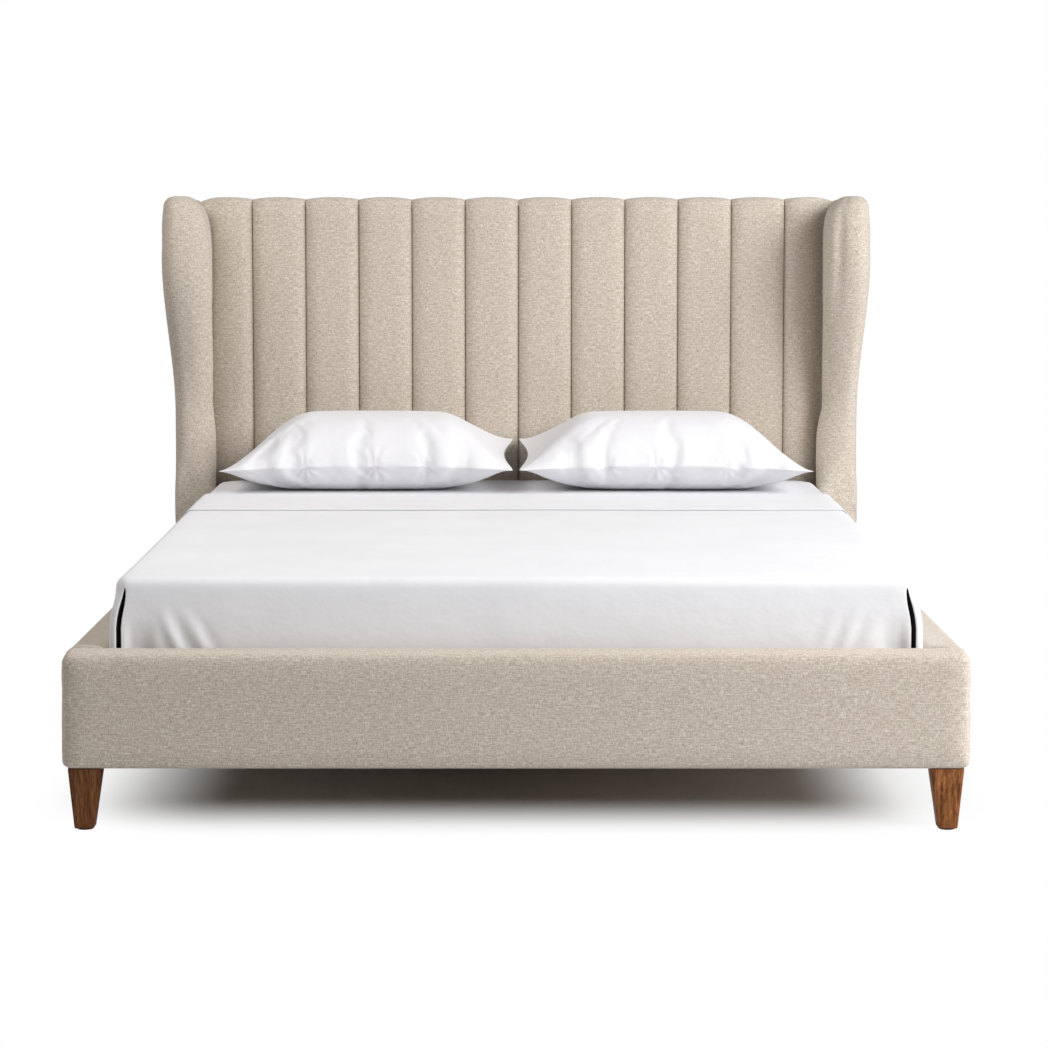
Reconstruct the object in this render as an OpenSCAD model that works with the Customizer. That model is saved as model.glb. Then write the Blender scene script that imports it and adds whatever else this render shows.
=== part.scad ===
// Upholstered winged bed with a channelled headboard, a made-up mattress and two pillows.
// +X runs across the bed, +Y from foot to head, +Z up; the origin is on the floor, mid bed.

/* [Overall size] */
// Width over the two side rails
bed_w = 1726; // [1716:2:1746]
// Length from the footboard's front to the headboard's back
bed_l = 2260; // [2256:2:2280]
// Height of the wings above the floor
headboard_h = 1210; // [1150:5:1260]

/* [Side rails and footboard] */
// Clear height under the rails
base_z = 120; // [110:2:130]
// Height of the rails and the footboard
base_h = 224; // [216:2:240]
// Thickness of an upholstered side rail
rail_t = 78; // [74:1:80]
// Thickness of the upholstered footboard
footboard_t = 85; // [80:1:88]
// Radius of the padded edges
edge_r = 20; // [14:1:24]
// Thickness of the foam wrap
foam_t = 13; // [10:1:14]
// Thickness of the upholstery cloth
cloth_t = 2; // [1:0.5:2]

/* [Headboard] */
// Number of vertical channels
channels = 12; // [10:2:12]
// Distance between two channel seams
channel_pitch = 136.5; // [134:0.5:137]
// How far a channel stands out in front of its seams
channel_bulge = 14; // [8:1:16]
// Height of a channel's arched top above its seams
channel_arch = 6.5; // [4:0.5:8]
// Thickness of the whole headboard
headboard_t = 119; // [110:1:124]

/* [Wings] */
// Half the bed's width at the wings' outer faces, low down
wing_out_low = 866; // [864:1:868]
// The same at the shoulder, where the wings flare
wing_out_high = 885; // [870:1:888]
// Distance from the bed's middle to a wing's inner face
wing_in = 771; // [770:1:776]
// How much nearer the middle that face is at the shoulder
wing_lean = 8; // [0:1:8]
// How far the inner edge falls back at the top
wing_crown = 26; // [20:1:30]
// Depth of a wing, front to back, at the rails
wing_depth_low = 245; // [240:1:250]
// Depth at the waist, just above the mattress
wing_depth_waist = 215; // [205:1:220]
// Depth at the shoulder
wing_depth_high = 330; // [300:5:340]
// Radius of the padded roll along a wing's front
wing_roll_r = 44; // [30:1:45]

/* [Legs] */
// Width of a corner leg at its top
leg_top_w = 63; // [56:1:64]
// Width of a corner leg at its foot
leg_foot_w = 37; // [30:1:44]
// Thickness of the glide under a leg
glide_t = 3; // [2:1:4]

/* [Slats and centre beam] */
// Number of slats
slat_count = 12; // [10:1:12]
// Width of a slat
slat_w = 90; // [70:5:90]
// Thickness of a slat
slat_t = 18; // [16:1:20]
// Height of the slats' top face above the floor
slat_top = 190; // [188:1:192]
// How far a support leg's foot can be screwed out
leveller_travel = 12; // [8:1:14]

/* [Mattress and bedding] */
// Width of the mattress
mattress_w = 1524; // [1516:2:1526]
// Length of the mattress
mattress_l = 2032; // [2024:2:2034]
// Thickness of the mattress
mattress_h = 282; // [240:2:290]
// Thickness of the bed linen
linen_t = 2; // [1:0.5:2]
// Depth of the turned-down band of the top sheet
cuff_d = 375; // [300:5:380]
// Width of a pillow, seam to seam
pillow_w = 720; // [640:5:724]
// Depth of a pillow
pillow_d = 430; // [400:5:434]
// Thickness of a pillow at its crest
pillow_h = 190; // [150:5:200]

/* [Hidden] */
$fn = 48;
foot_y = -bed_l / 2;
head_y = bed_l / 2;
rail_x = bed_w / 2;
rail_in = rail_x - rail_t;
base_top = base_z + base_h;
board_in = foot_y + footboard_t;
skin_t = foam_t + cloth_t;
footboard_plan_r = 12;
eps = 1;

// Headboard layers, counted back from the front of the channels
crown_y = head_y - headboard_t;
ply_t = 12;
ply_y = head_y - 60;
back_cloth_t = 3;
frame_y = ply_y + ply_t;
frame_t = head_y - back_cloth_t - frame_y;
channel_top = headboard_h - 2;
channel_low = base_top - 34;
frame_top = channel_top - 22;
panel_x = channels * channel_pitch / 2;
base_rail_y = ply_y - 35;
base_rail_top = base_z + 170;
rebate_low = base_top - 40;
fold_r = 25;
stile_w = 62;
mid_rail_z = [700, 750];
seam_gap = 0.6;
timber_low = base_z + 4;

// Wing heights where the outline changes
wing_flat_z = base_top + 56;
waist_low_z = 560;
waist_z = 660;
shoulder_z = headboard_h - 150;
crown_z = headboard_h - 65;
core_top_z = headboard_h - 90;
wing_top_r = 25;
wing_crown_d = 35;
wing_core_gap = 22;
wing_base_r = 3;
cheek_t = 24;
cheek_drop = 36;
nose_drop = 50;
nose_back_y = crown_y - 20;
wing_low_y = head_y - wing_depth_low;
wing_waist_y = head_y - wing_depth_waist;
wing_high_y = head_y - wing_depth_high;

// Corner legs and their bolts
leg_set_in = 10;
leg_x = rail_x - leg_set_in - 1 - leg_top_w / 2;
leg_y = [foot_y + leg_set_in + leg_top_w / 2, head_y - 180];
leg_splay = 3;
glide_r = 15;
leg_bolt_r = 4;
leg_bolt_z = [base_z - 36, base_z + 80];

// Slats, ledges and beam
slat_low = slat_top - slat_t;
ledge_w = 28;
ledge_h = 40;
beam_w = 60;
beam_h = 45;
beam_low = slat_low - beam_h;
slat_first_y = board_in + 10;
slat_last_y = crown_y - 21 - slat_w;
slat_len = 2 * rail_in - 4;
strap_x = 350;
strap_w = 25;
strap_t = 1.2;
support_y = [-350, 350];
support_w = 50;
pad_r = 20;
pad_t = 8;
nut_r = 9;
stud_r = 5;
stud_gap = 0.05;
stud_len = 38 + leveller_travel;
post_low = 14;

// Steel brackets and screws
plate_t = 2.5;
bracket_z = [200, 290];
bracket_w = 60;
bracket_lip = 40;
screw_r = 2.5;
screw_head_r = 6;
screw_head_t = 2.2;
screw_len = 40;
short_screw_len = 30;
long_screw_len = 60;
slat_screw_len = 36;
ledge_screw_count = 5;
ledge_screw_y = board_in + 145;
ledge_screw_step = 410;
screw_inset = 20;
bracket_screw_z = [bracket_z[0] + screw_inset, bracket_z[1] - screw_inset];
plate_reach = [70, 75];
hanger_w = 25;
hanger_l = 40;

// Mattress and bedding
mattress_foot = board_in + 10;
mattress_x = mattress_w / 2;
mattress_top = slat_top + mattress_h;
corner_r = 35;
mattress_edge_r = 18;
mattress_dip = 40;
linen_top = mattress_top + linen_t;
sheet_head = 560;
sheet_low = 240;
cuff_low = 300;
slit_w = 6;
slit_drop = 12;
pillow_gap = 0.4;
pillow_tip_r = 8;
pillow_tip_z = [70, 112];
pillow_base = [0.72, 0.66, 0.74];
pillow_crown = [0.9, 0.92, 0.46];
pillow_x = pillow_w / 2 + 7;
pillow_y = crown_y - 6 - pillow_d / 2;

// ---- shared shapes ----

module box(low, high) {
    translate(low) cube(high - low);
}

module both_sides() {
    children();
    mirror([1, 0, 0]) children();
}

module rounded_rect(low, high, r) {
    translate([low[0] + r, low[1]]) square([high[0] - low[0] - 2 * r, high[1] - low[1]]);
    translate([low[0], low[1] + r]) square([high[0] - low[0], high[1] - low[1] - 2 * r]);
    for (x = [low[0] + r, high[0] - r])
        for (y = [low[1] + r, high[1] - r])
            translate([x, y]) circle(r);
}

// A 2D outline in (Y, Z), extruded along X from x0 to x1
module along_x(x0, x1) {
    translate([x0, 0, 0]) rotate([90, 0, 90]) linear_extrude(x1 - x0) children();
}

// A 2D outline in (X, Z), extruded along Y from y0 to y1
module along_y(y0, y1) {
    translate([0, y1, 0]) rotate([90, 0, 0]) linear_extrude(y1 - y0) children();
}

// A box with its edges rounded along X and along Y, and its upright corners to plan_r
module soft_box(low, high, r, plan_r) {
    intersection() {
        along_x(low[0], high[0]) rounded_rect([low[1], low[2]], [high[1], high[2]], r);
        along_y(low[1], high[1]) rounded_rect([low[0], low[2]], [high[0], high[2]], r);
        translate([0, 0, low[2]]) linear_extrude(high[2] - low[2])
            rounded_rect([low[0], low[1]], [high[0], high[1]], plan_r);
    }
}

// ---- fasteners: one module draws the screws, the same places cut their holes ----

// Screw at a point on a face, running into the piece along its direction
module screw(at, turn, length, r) {
    translate(at) rotate(turn) {
        translate([0, 0, -length]) cylinder(h = length, r = r);
        cylinder(h = screw_head_t, r = screw_head_r);
    }
}

module foot_bracket_screws(r) {
    both_sides()
        for (z = bracket_screw_z) {
            screw([rail_in - screw_inset, board_in + plate_t, z], [-90, 0, 0], screw_len, r);
            screw([rail_in - plate_t, board_in + bracket_w - screw_inset, z], [0, -90, 0], screw_len, r);
        }
}

module head_plate_screws(r) {
    both_sides()
        for (z = bracket_screw_z)
            for (y = [wing_low_y - plate_reach[0] / 2, wing_low_y + plate_reach[1] - screw_inset])
                screw([rail_in - plate_t, y, z], [0, -90, 0], screw_len, r);
}

module ledge_screws(r) {
    both_sides()
        for (i = [0:ledge_screw_count - 1])
            screw([rail_in - ledge_w, ledge_screw_y + i * ledge_screw_step, slat_low - ledge_h / 2],
                [0, -90, 0], long_screw_len, r);
}

module hanger_screws(r) {
    x = beam_w / 2 + plate_t + hanger_w / 2;
    z = beam_low + beam_h / 2;
    both_sides() {
        screw([x, board_in + plate_t, z], [-90, 0, 0], screw_len, r);
        screw([x, base_rail_y - plate_t, z], [90, 0, 0], short_screw_len, r);
    }
}

module all_frame_screws(r) {
    foot_bracket_screws(r);
    head_plate_screws(r);
    ledge_screws(r);
    hanger_screws(r);
}

// Countersunk screws, flush with the slats' top faces
module all_slat_screws(r) {
    both_sides()
        for (i = [1:slat_count])
            translate([rail_in - ledge_w / 2, slat_y(i) + slat_w / 2, slat_top]) {
                translate([0, 0, -slat_screw_len]) cylinder(h = slat_screw_len, r = r);
                translate([0, 0, -screw_head_t]) cylinder(h = screw_head_t, r = screw_head_r);
            }
}

module leg_bolt_shanks(r) {
    both_sides()
        for (y = leg_y)
            translate([leg_x, y, leg_bolt_z[0]]) cylinder(h = leg_bolt_z[1] - leg_bolt_z[0], r = r);
}

// ---- footboard and side rails ----

module footboard_body(inset) {
    soft_box(
        [-rail_x + inset, foot_y + inset, base_z + inset],
        [rail_x - inset, board_in - inset, base_top - inset],
        edge_r - inset, footboard_plan_r - inset);
}

module footboard_core(grow = 0) {
    box([-rail_x + skin_t - grow, foot_y + skin_t - grow, base_z + skin_t - grow],
        [rail_x - skin_t + grow, board_in - skin_t + grow, base_top - skin_t + grow]);
}

module footboard_board() {
    color("burlywood") difference() {
        footboard_core();
        leg_bolt_shanks(leg_bolt_r);
        foot_bracket_screws(screw_r);
        hanger_screws(screw_r);
    }
}

module footboard_padding() {
    color("ivory") difference() {
        footboard_body(cloth_t);
        footboard_core();
        leg_bolt_shanks(leg_bolt_r);
        foot_bracket_screws(screw_r);
        hanger_screws(screw_r);
    }
}

module footboard_cover() {
    color("tan") difference() {
        footboard_body(0);
        footboard_body(cloth_t);
        leg_bolt_shanks(leg_bolt_r);
        foot_bracket_screws(screw_r);
        hanger_screws(screw_r);
    }
}

module rail_section(inset) {
    rounded_rect([rail_in + inset, base_z + inset], [rail_x - inset, base_top - inset], edge_r - inset);
}

module rail_holes() {
    foot_bracket_screws(screw_r);
    head_plate_screws(screw_r);
    ledge_screws(screw_r);
}

module rail_board() {
    color("burlywood") difference() {
        box([rail_in + skin_t, board_in, base_z + skin_t],
            [rail_x - skin_t, wing_low_y, base_top - skin_t]);
        rail_holes();
    }
}

module rail_padding() {
    color("ivory") difference() {
        along_y(board_in, wing_low_y) rail_section(cloth_t);
        box([rail_in + skin_t, board_in - eps, base_z + skin_t],
            [rail_x - skin_t, wing_low_y + eps, base_top - skin_t]);
        rail_holes();
    }
}

module rail_cover() {
    color("tan") difference() {
        along_y(board_in, wing_low_y) rail_section(0);
        along_y(board_in - eps, wing_low_y + eps) rail_section(cloth_t);
        rail_holes();
    }
}

// ---- slats, ledges, centre beam and its legs ----

module slat_ledge() {
    color("burlywood") difference() {
        box([rail_in - ledge_w, board_in, slat_low - ledge_h], [rail_in, base_rail_y, slat_low]);
        ledge_screws(screw_r);
        all_slat_screws(screw_r);
    }
}

function slat_y(i) = slat_first_y + (i - 1) * (slat_last_y - slat_first_y) / (slat_count - 1);

module slat(i) {
    color("wheat") difference() {
        translate([-slat_len / 2, slat_y(i), slat_low]) cube([slat_len, slat_w, slat_t]);
        all_slat_screws(screw_r);
    }
}

module slat_webbing() {
    color("whitesmoke") both_sides()
        box([strap_x - strap_w / 2, slat_first_y, slat_low - strap_t],
            [strap_x + strap_w / 2, slat_last_y + slat_w, slat_low]);
}

module centre_beam() {
    color("burlywood")
        box([-beam_w / 2, board_in, beam_low], [beam_w / 2, base_rail_y, slat_low]);
}

// A stirrup that cups the beam's end, with a flange each side
module beam_hanger() {
    half = beam_w / 2 + plate_t;
    low = beam_low - plate_t;
    difference() {
        box([-half, board_in, low], [half, board_in + hanger_l, slat_low]);
        box([-beam_w / 2, board_in - eps, beam_low],
            [beam_w / 2, board_in + hanger_l + eps, slat_low + eps]);
    }
    both_sides()
        box([half, board_in, low], [half + hanger_w, board_in + plate_t, slat_low]);
}

module beam_hangers() {
    color("silver") difference() {
        union() {
            beam_hanger();
            translate([0, base_rail_y + board_in, 0]) mirror([0, 1, 0]) beam_hanger();
        }
        hanger_screws(screw_r);
    }
}

module support_leg(y) {
    half = support_w / 2;
    color("burlywood") difference() {
        box([-half, y - half, post_low], [half, y + half, beam_low]);
        translate([0, y, post_low - eps]) cylinder(h = stud_len + pad_t, r = stud_r + stud_gap);
    }
}

module leveller(y) {
    color("dimgray") translate([0, y, 0]) {
        cylinder(h = pad_t, r = pad_r);
        translate([0, 0, pad_t]) cylinder(h = post_low - pad_t, r = nut_r, $fn = 6);
        translate([0, 0, post_low]) cylinder(h = stud_len, r = stud_r);
    }
}

// ---- corner legs ----

// A square post that tapers towards the floor and leans out a little
module corner_leg(y, lean_y) {
    top = leg_top_w / 2;
    foot = leg_foot_w / 2;
    color("saddlebrown") difference() {
        hull() {
            translate([leg_x, y, base_z]) box([-top, -top, -eps], [top, top, 0]);
            translate([leg_x + leg_splay, y + lean_y, glide_t]) box([-foot, -foot, 0], [foot, foot, eps]);
        }
        leg_bolt_shanks(leg_bolt_r);
    }
}

module leg_bolts() {
    color("silver") leg_bolt_shanks(leg_bolt_r);
}

module leg_glides() {
    color("dimgray") both_sides() {
        translate([leg_x + leg_splay, leg_y[0] - leg_splay, 0]) cylinder(h = glide_t, r = glide_r);
        translate([leg_x + leg_splay, leg_y[1] + leg_splay, 0]) cylinder(h = glide_t, r = glide_r);
    }
}

// ---- steel corner brackets and screws ----

module corner_brackets() {
    color("silver") both_sides() difference() {
        union() {
            box([rail_in - bracket_lip, board_in, bracket_z[0]],
                [rail_in, board_in + plate_t, bracket_z[1]]);
            box([rail_in - plate_t, board_in, bracket_z[0]],
                [rail_in, board_in + bracket_w, bracket_z[1]]);
            box([rail_in - plate_t, wing_low_y - plate_reach[0], bracket_z[0]],
                [rail_in, wing_low_y + plate_reach[1], bracket_z[1]]);
        }
        foot_bracket_screws(screw_r);
        head_plate_screws(screw_r);
    }
}

module frame_screws() {
    color("gray") all_frame_screws(screw_r);
}

module slat_screws() {
    color("gray") all_slat_screws(screw_r);
}

// ---- headboard ----

// Centre of a channel, counted from the bed's left
function channel_x(i) = -panel_x + (i - 0.5) * channel_pitch;

// Radius of an arc that rises by rise over one channel
function arc_r(rise) = channel_pitch * channel_pitch / (8 * rise) + rise / 2;

// One channel with its cloth: a bowed front, an arched top, and a fold over the frame
module channel(i, inset, gap) {
    half = channel_pitch / 2 - gap;
    front_r = arc_r(channel_bulge);
    top_r = arc_r(channel_arch);
    intersection() {
        translate([channel_x(i), crown_y + front_r, channel_low]) linear_extrude(channel_top)
            intersection() {
                circle(front_r - inset, $fn = 96);
                translate([-half, -front_r]) square([2 * half, headboard_t - inset]);
            }
        along_y(crown_y, head_y) translate([channel_x(i), 0])
            intersection() {
                translate([-half, channel_low]) square([2 * half, channel_top - channel_low]);
                union() {
                    translate([0, channel_top - top_r]) circle(top_r - inset, $fn = 96);
                    translate([-half, channel_low])
                        square([2 * half, channel_top - top_r - channel_low]);
                }
            }
        along_x(-panel_x, panel_x) difference() {
            rounded_rect([crown_y + inset, channel_low - 2 * fold_r],
                [head_y - inset, channel_top - inset], fold_r - inset);
            translate([ply_y, 0]) square([headboard_t, frame_top]);
        }
    }
}

module channel_foam() {
    color("ivory")
        for (i = [1:channels]) channel(i, cloth_t, seam_gap);
}

module channel_cover() {
    color("tan") difference() {
        for (i = [1:channels]) channel(i, 0, 0);
        for (i = [1:channels]) channel(i, cloth_t, seam_gap);
    }
}

module headboard_panel() {
    color("burlywood")
        box([-panel_x, ply_y, timber_low], [panel_x, ply_y + ply_t, frame_top]);
}

// Four stiles and three rails of timber behind the panel
module headboard_frame() {
    window_w = (2 * panel_x - 4 * stile_w) / 3;
    color("wheat") difference() {
        box([-panel_x, frame_y, timber_low], [panel_x, frame_y + frame_t, frame_top]);
        for (i = [0:2])
            for (z = [[base_rail_top, mid_rail_z[0]], [mid_rail_z[1], frame_top - stile_w]])
                translate([-panel_x + stile_w + i * (window_w + stile_w), 0, 0])
                    box([0, frame_y - eps, z[0]], [window_w, head_y, z[1]]);
    }
}

module headboard_base_rail() {
    color("burlywood") difference() {
        box([-wing_in + 5, base_rail_y, timber_low], [wing_in - 5, ply_y, base_rail_top]);
        hanger_screws(screw_r);
    }
}

module headboard_back_cover() {
    color("tan")
        box([-panel_x, head_y - back_cloth_t, timber_low], [panel_x, head_y, frame_top]);
}

// ---- wings ----

// Smooth step from 0 at a to 1 at b
function ease(z, a, b) = let (t = min(max((z - a) / (b - a), 0), 1)) t * t * (3 - 2 * t);

function wing_outer(z) =
    wing_out_low + (wing_out_high - wing_out_low) * ease(z, waist_z, shoulder_z);

function wing_fall(z) = pow(max(0, (z - shoulder_z) / (headboard_h - shoulder_z)), 2);

function wing_inner(z) =
    rail_in + (wing_in - rail_in) * ease(z, base_top, wing_flat_z)
    - wing_lean * ease(z, waist_z, shoulder_z) + wing_crown * wing_fall(z);

function wing_front(z) =
    wing_low_y + (wing_waist_y - wing_low_y) * ease(z, wing_flat_z, waist_low_z)
    + (wing_high_y - wing_waist_y) * ease(z, waist_z, shoulder_z) + wing_crown_d * wing_fall(z);

function wing_roll(z) = wing_base_r + (wing_roll_r - wing_base_r) * ease(z, base_top, waist_low_z);

// One level's outline, in from the finished surface by inset: back, outer corner, inner corner
function wing_ring(z, inset, r) = [
    [wing_outer(z) - inset, head_y - inset, z],
    for (a = [0:15:90])
        [wing_outer(z) - inset - r + r * cos(a), wing_front(z) + inset + r - r * sin(a), z],
    for (a = [90:15:180])
        [wing_inner(z) + inset + r + r * cos(a), wing_front(z) + inset + r - r * sin(a), z],
    [wing_inner(z) + inset, head_y - inset, z]
];

// Evenly spaced levels after a, up to and with b
function steps(a, b, n) = [for (i = [1:n]) a + i * (b - a) / n];

// Levels up the wing, and the angles of the last few, which draw in to round its top
wing_levels = concat([base_z, base_top], steps(base_top, waist_low_z, 5), [waist_z],
    steps(waist_z, shoulder_z, 6), steps(shoulder_z, crown_z, 2));
wing_caps = [0, 25, 50, 70, 85];

function wing_rings(inset) = concat(
    [for (z = wing_levels)
        wing_ring(max(z, base_z + inset), inset, max(wing_roll(z) - inset, 1))],
    [for (a = wing_caps)
        let (fall = wing_top_r * (1 - cos(a)), z = headboard_h - inset - wing_top_r * (1 - sin(a)))
        wing_ring(z, inset + fall, wing_roll_r - inset - fall)]
);

// Joins rings of equal length into one closed solid
module skin(rings) {
    n = len(rings[0]);
    last = len(rings) - 1;
    polyhedron(
        points = [for (ring = rings) each ring],
        faces = concat(
            [[for (j = [n - 1:-1:0]) j]],
            [[for (j = [0:n - 1]) last * n + j]],
            [for (i = [0:last - 1], j = [0:n - 1])
                [i * n + j, (i + 1) * n + (j + 1) % n, (i + 1) * n + j]],
            [for (i = [0:last - 1], j = [0:n - 1])
                [i * n + j, i * n + (j + 1) % n, (i + 1) * n + (j + 1) % n]]
        ));
}

// The place where the headboard's edge sits in a wing
module headboard_rebate() {
    box([0, crown_y - 2, rebate_low], [panel_x, head_y + eps, headboard_h + eps]);
}

// The same below the rails' top, where only the timber and the panel reach in
module timber_rebate() {
    box([0, ply_y, base_z - eps], [panel_x, head_y + eps, headboard_h]);
}

// Side outline of a wing's timber core
module wing_core_outline(top, back) {
    levels = concat([base_z + skin_t, base_top], steps(base_top, waist_z, 4), steps(waist_z, core_top_z, 5));
    polygon(concat(
        [for (z = levels) [wing_front(z) + wing_core_gap, z]],
        [[wing_front(core_top_z) + 1.5 * wing_core_gap, top], [back, top], [back, base_z + skin_t]]
    ));
}

// A plywood cheek the whole depth of the wing, and a nose block in front of the headboard
module wing_core() {
    outer = wing_out_low - skin_t - cloth_t;
    along_x(outer - cheek_t, outer) wing_core_outline(headboard_h - cheek_drop, head_y - skin_t);
    along_x(rail_in + skin_t, outer - cheek_t) wing_core_outline(headboard_h - nose_drop, nose_back_y);
}

module wing_frame() {
    color("burlywood") difference() {
        wing_core();
        leg_bolt_shanks(leg_bolt_r);
        head_plate_screws(screw_r);
    }
}

module wing_padding() {
    color("ivory") difference() {
        skin(wing_rings(cloth_t));
        wing_core();
        headboard_rebate();
        timber_rebate();
        leg_bolt_shanks(leg_bolt_r);
        head_plate_screws(screw_r);
    }
}

module wing_cover() {
    color("tan") difference() {
        skin(wing_rings(0));
        skin(wing_rings(cloth_t));
        headboard_rebate();
        timber_rebate();
        leg_bolt_shanks(leg_bolt_r);
        head_plate_screws(screw_r);
    }
}

// ---- mattress, sheets and pillows ----

module mattress_body(grow, low) {
    soft_box(
        [-mattress_x - grow, mattress_foot - grow, low],
        [mattress_x + grow, mattress_foot + mattress_l + grow, mattress_top + grow],
        mattress_edge_r + grow, corner_r + grow);
}

module mattress() {
    color("white") intersection() {
        mattress_body(0, slat_top - mattress_dip);
        box([-mattress_w, foot_y, slat_top], [mattress_w, head_y, headboard_h]);
    }
}

module fitted_sheet() {
    color("white") difference() {
        intersection() {
            mattress_body(linen_t, slat_top - mattress_dip);
            box([-mattress_w, foot_y, slat_top], [mattress_w, head_y, headboard_h]);
        }
        mattress_body(0, slat_top - 2 * mattress_dip);
    }
}

// A layer of linen over the mattress, from y0 to y1 and down to low
module linen_layer(under, y0, y1, low) {
    intersection() {
        difference() {
            mattress_body(under + linen_t, slat_top - mattress_dip);
            mattress_body(under, slat_top - 2 * mattress_dip);
        }
        box([-mattress_w, y0, low], [mattress_w, y1, headboard_h]);
    }
}

module top_sheet() {
    slit_x = mattress_x - corner_r;
    color("whitesmoke") difference() {
        union() {
            linen_layer(linen_t, foot_y, sheet_head, sheet_low);
            linen_layer(2 * linen_t, sheet_head - cuff_d, sheet_head, cuff_low);
        }
        both_sides()
            box([slit_x, foot_y, sheet_low - eps],
                [slit_x + slit_w, mattress_foot + corner_r, mattress_top - slit_drop]);
    }
}

// A plump pillow on its flat base: corners drawn out, the back ones higher
module pillow_body(inset) {
    tip = pillow_tip_r - inset;
    x = pillow_w / 2 - pillow_tip_r;
    y = pillow_d / 2 - pillow_tip_r;
    hull() {
        for (s = [-1, 1]) {
            translate([s * x, -y, pillow_tip_z[0]]) sphere(tip, $fn = 12);
            translate([s * x, y, pillow_tip_z[1]]) sphere(tip, $fn = 12);
        }
        box([-x * pillow_base[0], -y * pillow_base[1], inset],
            [x * pillow_base[0], y * pillow_base[2], inset + eps]);
        translate([0, y * (1 - pillow_crown[1]), pillow_h * (1 - pillow_crown[2])])
            scale([x * pillow_crown[0] - inset, y * pillow_crown[1] - inset,
                pillow_h * pillow_crown[2] - inset])
                sphere(1, $fn = 32);
    }
}

module pillow() {
    color("white") translate([pillow_x, pillow_y, linen_top + pillow_gap]) pillow_body(linen_t);
}

module pillowcase() {
    color("white") translate([pillow_x, pillow_y, linen_top + pillow_gap]) difference() {
        pillow_body(0);
        pillow_body(linen_t);
    }
}

footboard_board();
footboard_padding();
footboard_cover();
mirror([1, 0, 0]) rail_board();  // left_rail_board
mirror([1, 0, 0]) rail_padding();  // left_rail_padding
mirror([1, 0, 0]) rail_cover();  // left_rail_cover
rail_board();  // right_rail_board
rail_padding();  // right_rail_padding
rail_cover();  // right_rail_cover
mirror([1, 0, 0]) slat_ledge();  // left_slat_ledge
slat_ledge();  // right_slat_ledge
centre_beam();
beam_hangers();
support_leg(support_y[0]);  // front_support_leg
support_leg(support_y[1]);  // rear_support_leg
leveller(support_y[0]);  // front_leveller
leveller(support_y[1]);  // rear_leveller
mirror([1, 0, 0]) corner_leg(leg_y[0], -leg_splay);  // front_left_leg
corner_leg(leg_y[0], -leg_splay);  // front_right_leg
mirror([1, 0, 0]) corner_leg(leg_y[1], leg_splay);  // rear_left_leg
corner_leg(leg_y[1], leg_splay);  // rear_right_leg
leg_bolts();
leg_glides();
corner_brackets();
frame_screws();
slat_screws();
slat_webbing();
for (i = [1:slat_count])
    slat(i);
headboard_frame();
headboard_base_rail();
headboard_panel();
channel_foam();
channel_cover();
headboard_back_cover();
mirror([1, 0, 0]) wing_frame();  // left_wing_frame
mirror([1, 0, 0]) wing_padding();  // left_wing_padding
mirror([1, 0, 0]) wing_cover();  // left_wing_cover
wing_frame();  // right_wing_frame
wing_padding();  // right_wing_padding
wing_cover();  // right_wing_cover
mattress();
fitted_sheet();
top_sheet();
mirror([1, 0, 0]) pillow();  // left_pillow
mirror([1, 0, 0]) pillowcase();  // left_pillowcase
pillow();  // right_pillow
pillowcase();  // right_pillowcase
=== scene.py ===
import math

import bmesh
import bpy
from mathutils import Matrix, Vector, noise


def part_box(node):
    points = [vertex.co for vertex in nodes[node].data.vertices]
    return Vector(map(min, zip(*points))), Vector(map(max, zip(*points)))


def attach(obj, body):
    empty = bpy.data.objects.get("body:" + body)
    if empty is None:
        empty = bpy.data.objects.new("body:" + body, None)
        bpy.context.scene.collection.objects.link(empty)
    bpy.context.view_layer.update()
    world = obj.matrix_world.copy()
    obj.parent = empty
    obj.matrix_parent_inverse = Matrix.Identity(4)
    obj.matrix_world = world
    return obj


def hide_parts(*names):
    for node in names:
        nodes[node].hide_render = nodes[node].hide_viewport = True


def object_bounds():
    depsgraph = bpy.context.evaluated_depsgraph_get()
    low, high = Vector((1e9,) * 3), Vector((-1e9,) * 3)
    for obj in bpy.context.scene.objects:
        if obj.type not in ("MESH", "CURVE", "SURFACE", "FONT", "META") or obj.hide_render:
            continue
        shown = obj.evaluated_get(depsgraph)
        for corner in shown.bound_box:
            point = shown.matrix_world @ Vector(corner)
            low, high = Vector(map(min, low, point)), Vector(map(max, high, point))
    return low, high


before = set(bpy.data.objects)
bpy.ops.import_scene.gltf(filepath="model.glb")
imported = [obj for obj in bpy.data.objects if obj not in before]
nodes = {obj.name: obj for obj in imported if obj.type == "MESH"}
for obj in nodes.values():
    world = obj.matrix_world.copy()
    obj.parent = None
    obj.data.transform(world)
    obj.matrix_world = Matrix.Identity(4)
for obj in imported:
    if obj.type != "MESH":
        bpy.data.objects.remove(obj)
cad_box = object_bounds()
scene = bpy.context.scene

# ---- studio ----
# The bed stands on a pale floor that runs out to a white backdrop. Two large
# soft lamps hang high on the right, one on the left and a weak one low in front,
# and an even light comes from all round.
scene.view_settings.view_transform = "Standard"
bpy.ops.object.select_all(action="DESELECT")
bpy.ops.object.camera_add(location=(0, -6.835, 1.18), rotation=(math.radians(84.087), 0, 0))
camera = bpy.context.object
camera.data.lens = 104.8
camera.data.shift_x = 0.0076
scene.camera = camera


def soft_lamp(name, at, aim, size, power, colour):
    """Hangs a square soft lamp at a point and turns it towards another."""
    bpy.ops.object.light_add(type="AREA", location=at)
    lamp = bpy.context.object
    lamp.name = name
    lamp.rotation_euler = (Vector(aim) - Vector(at)).to_track_quat("-Z", "Y").to_euler()
    lamp.data.size = size
    lamp.data.energy = power
    lamp.data.color = colour


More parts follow.
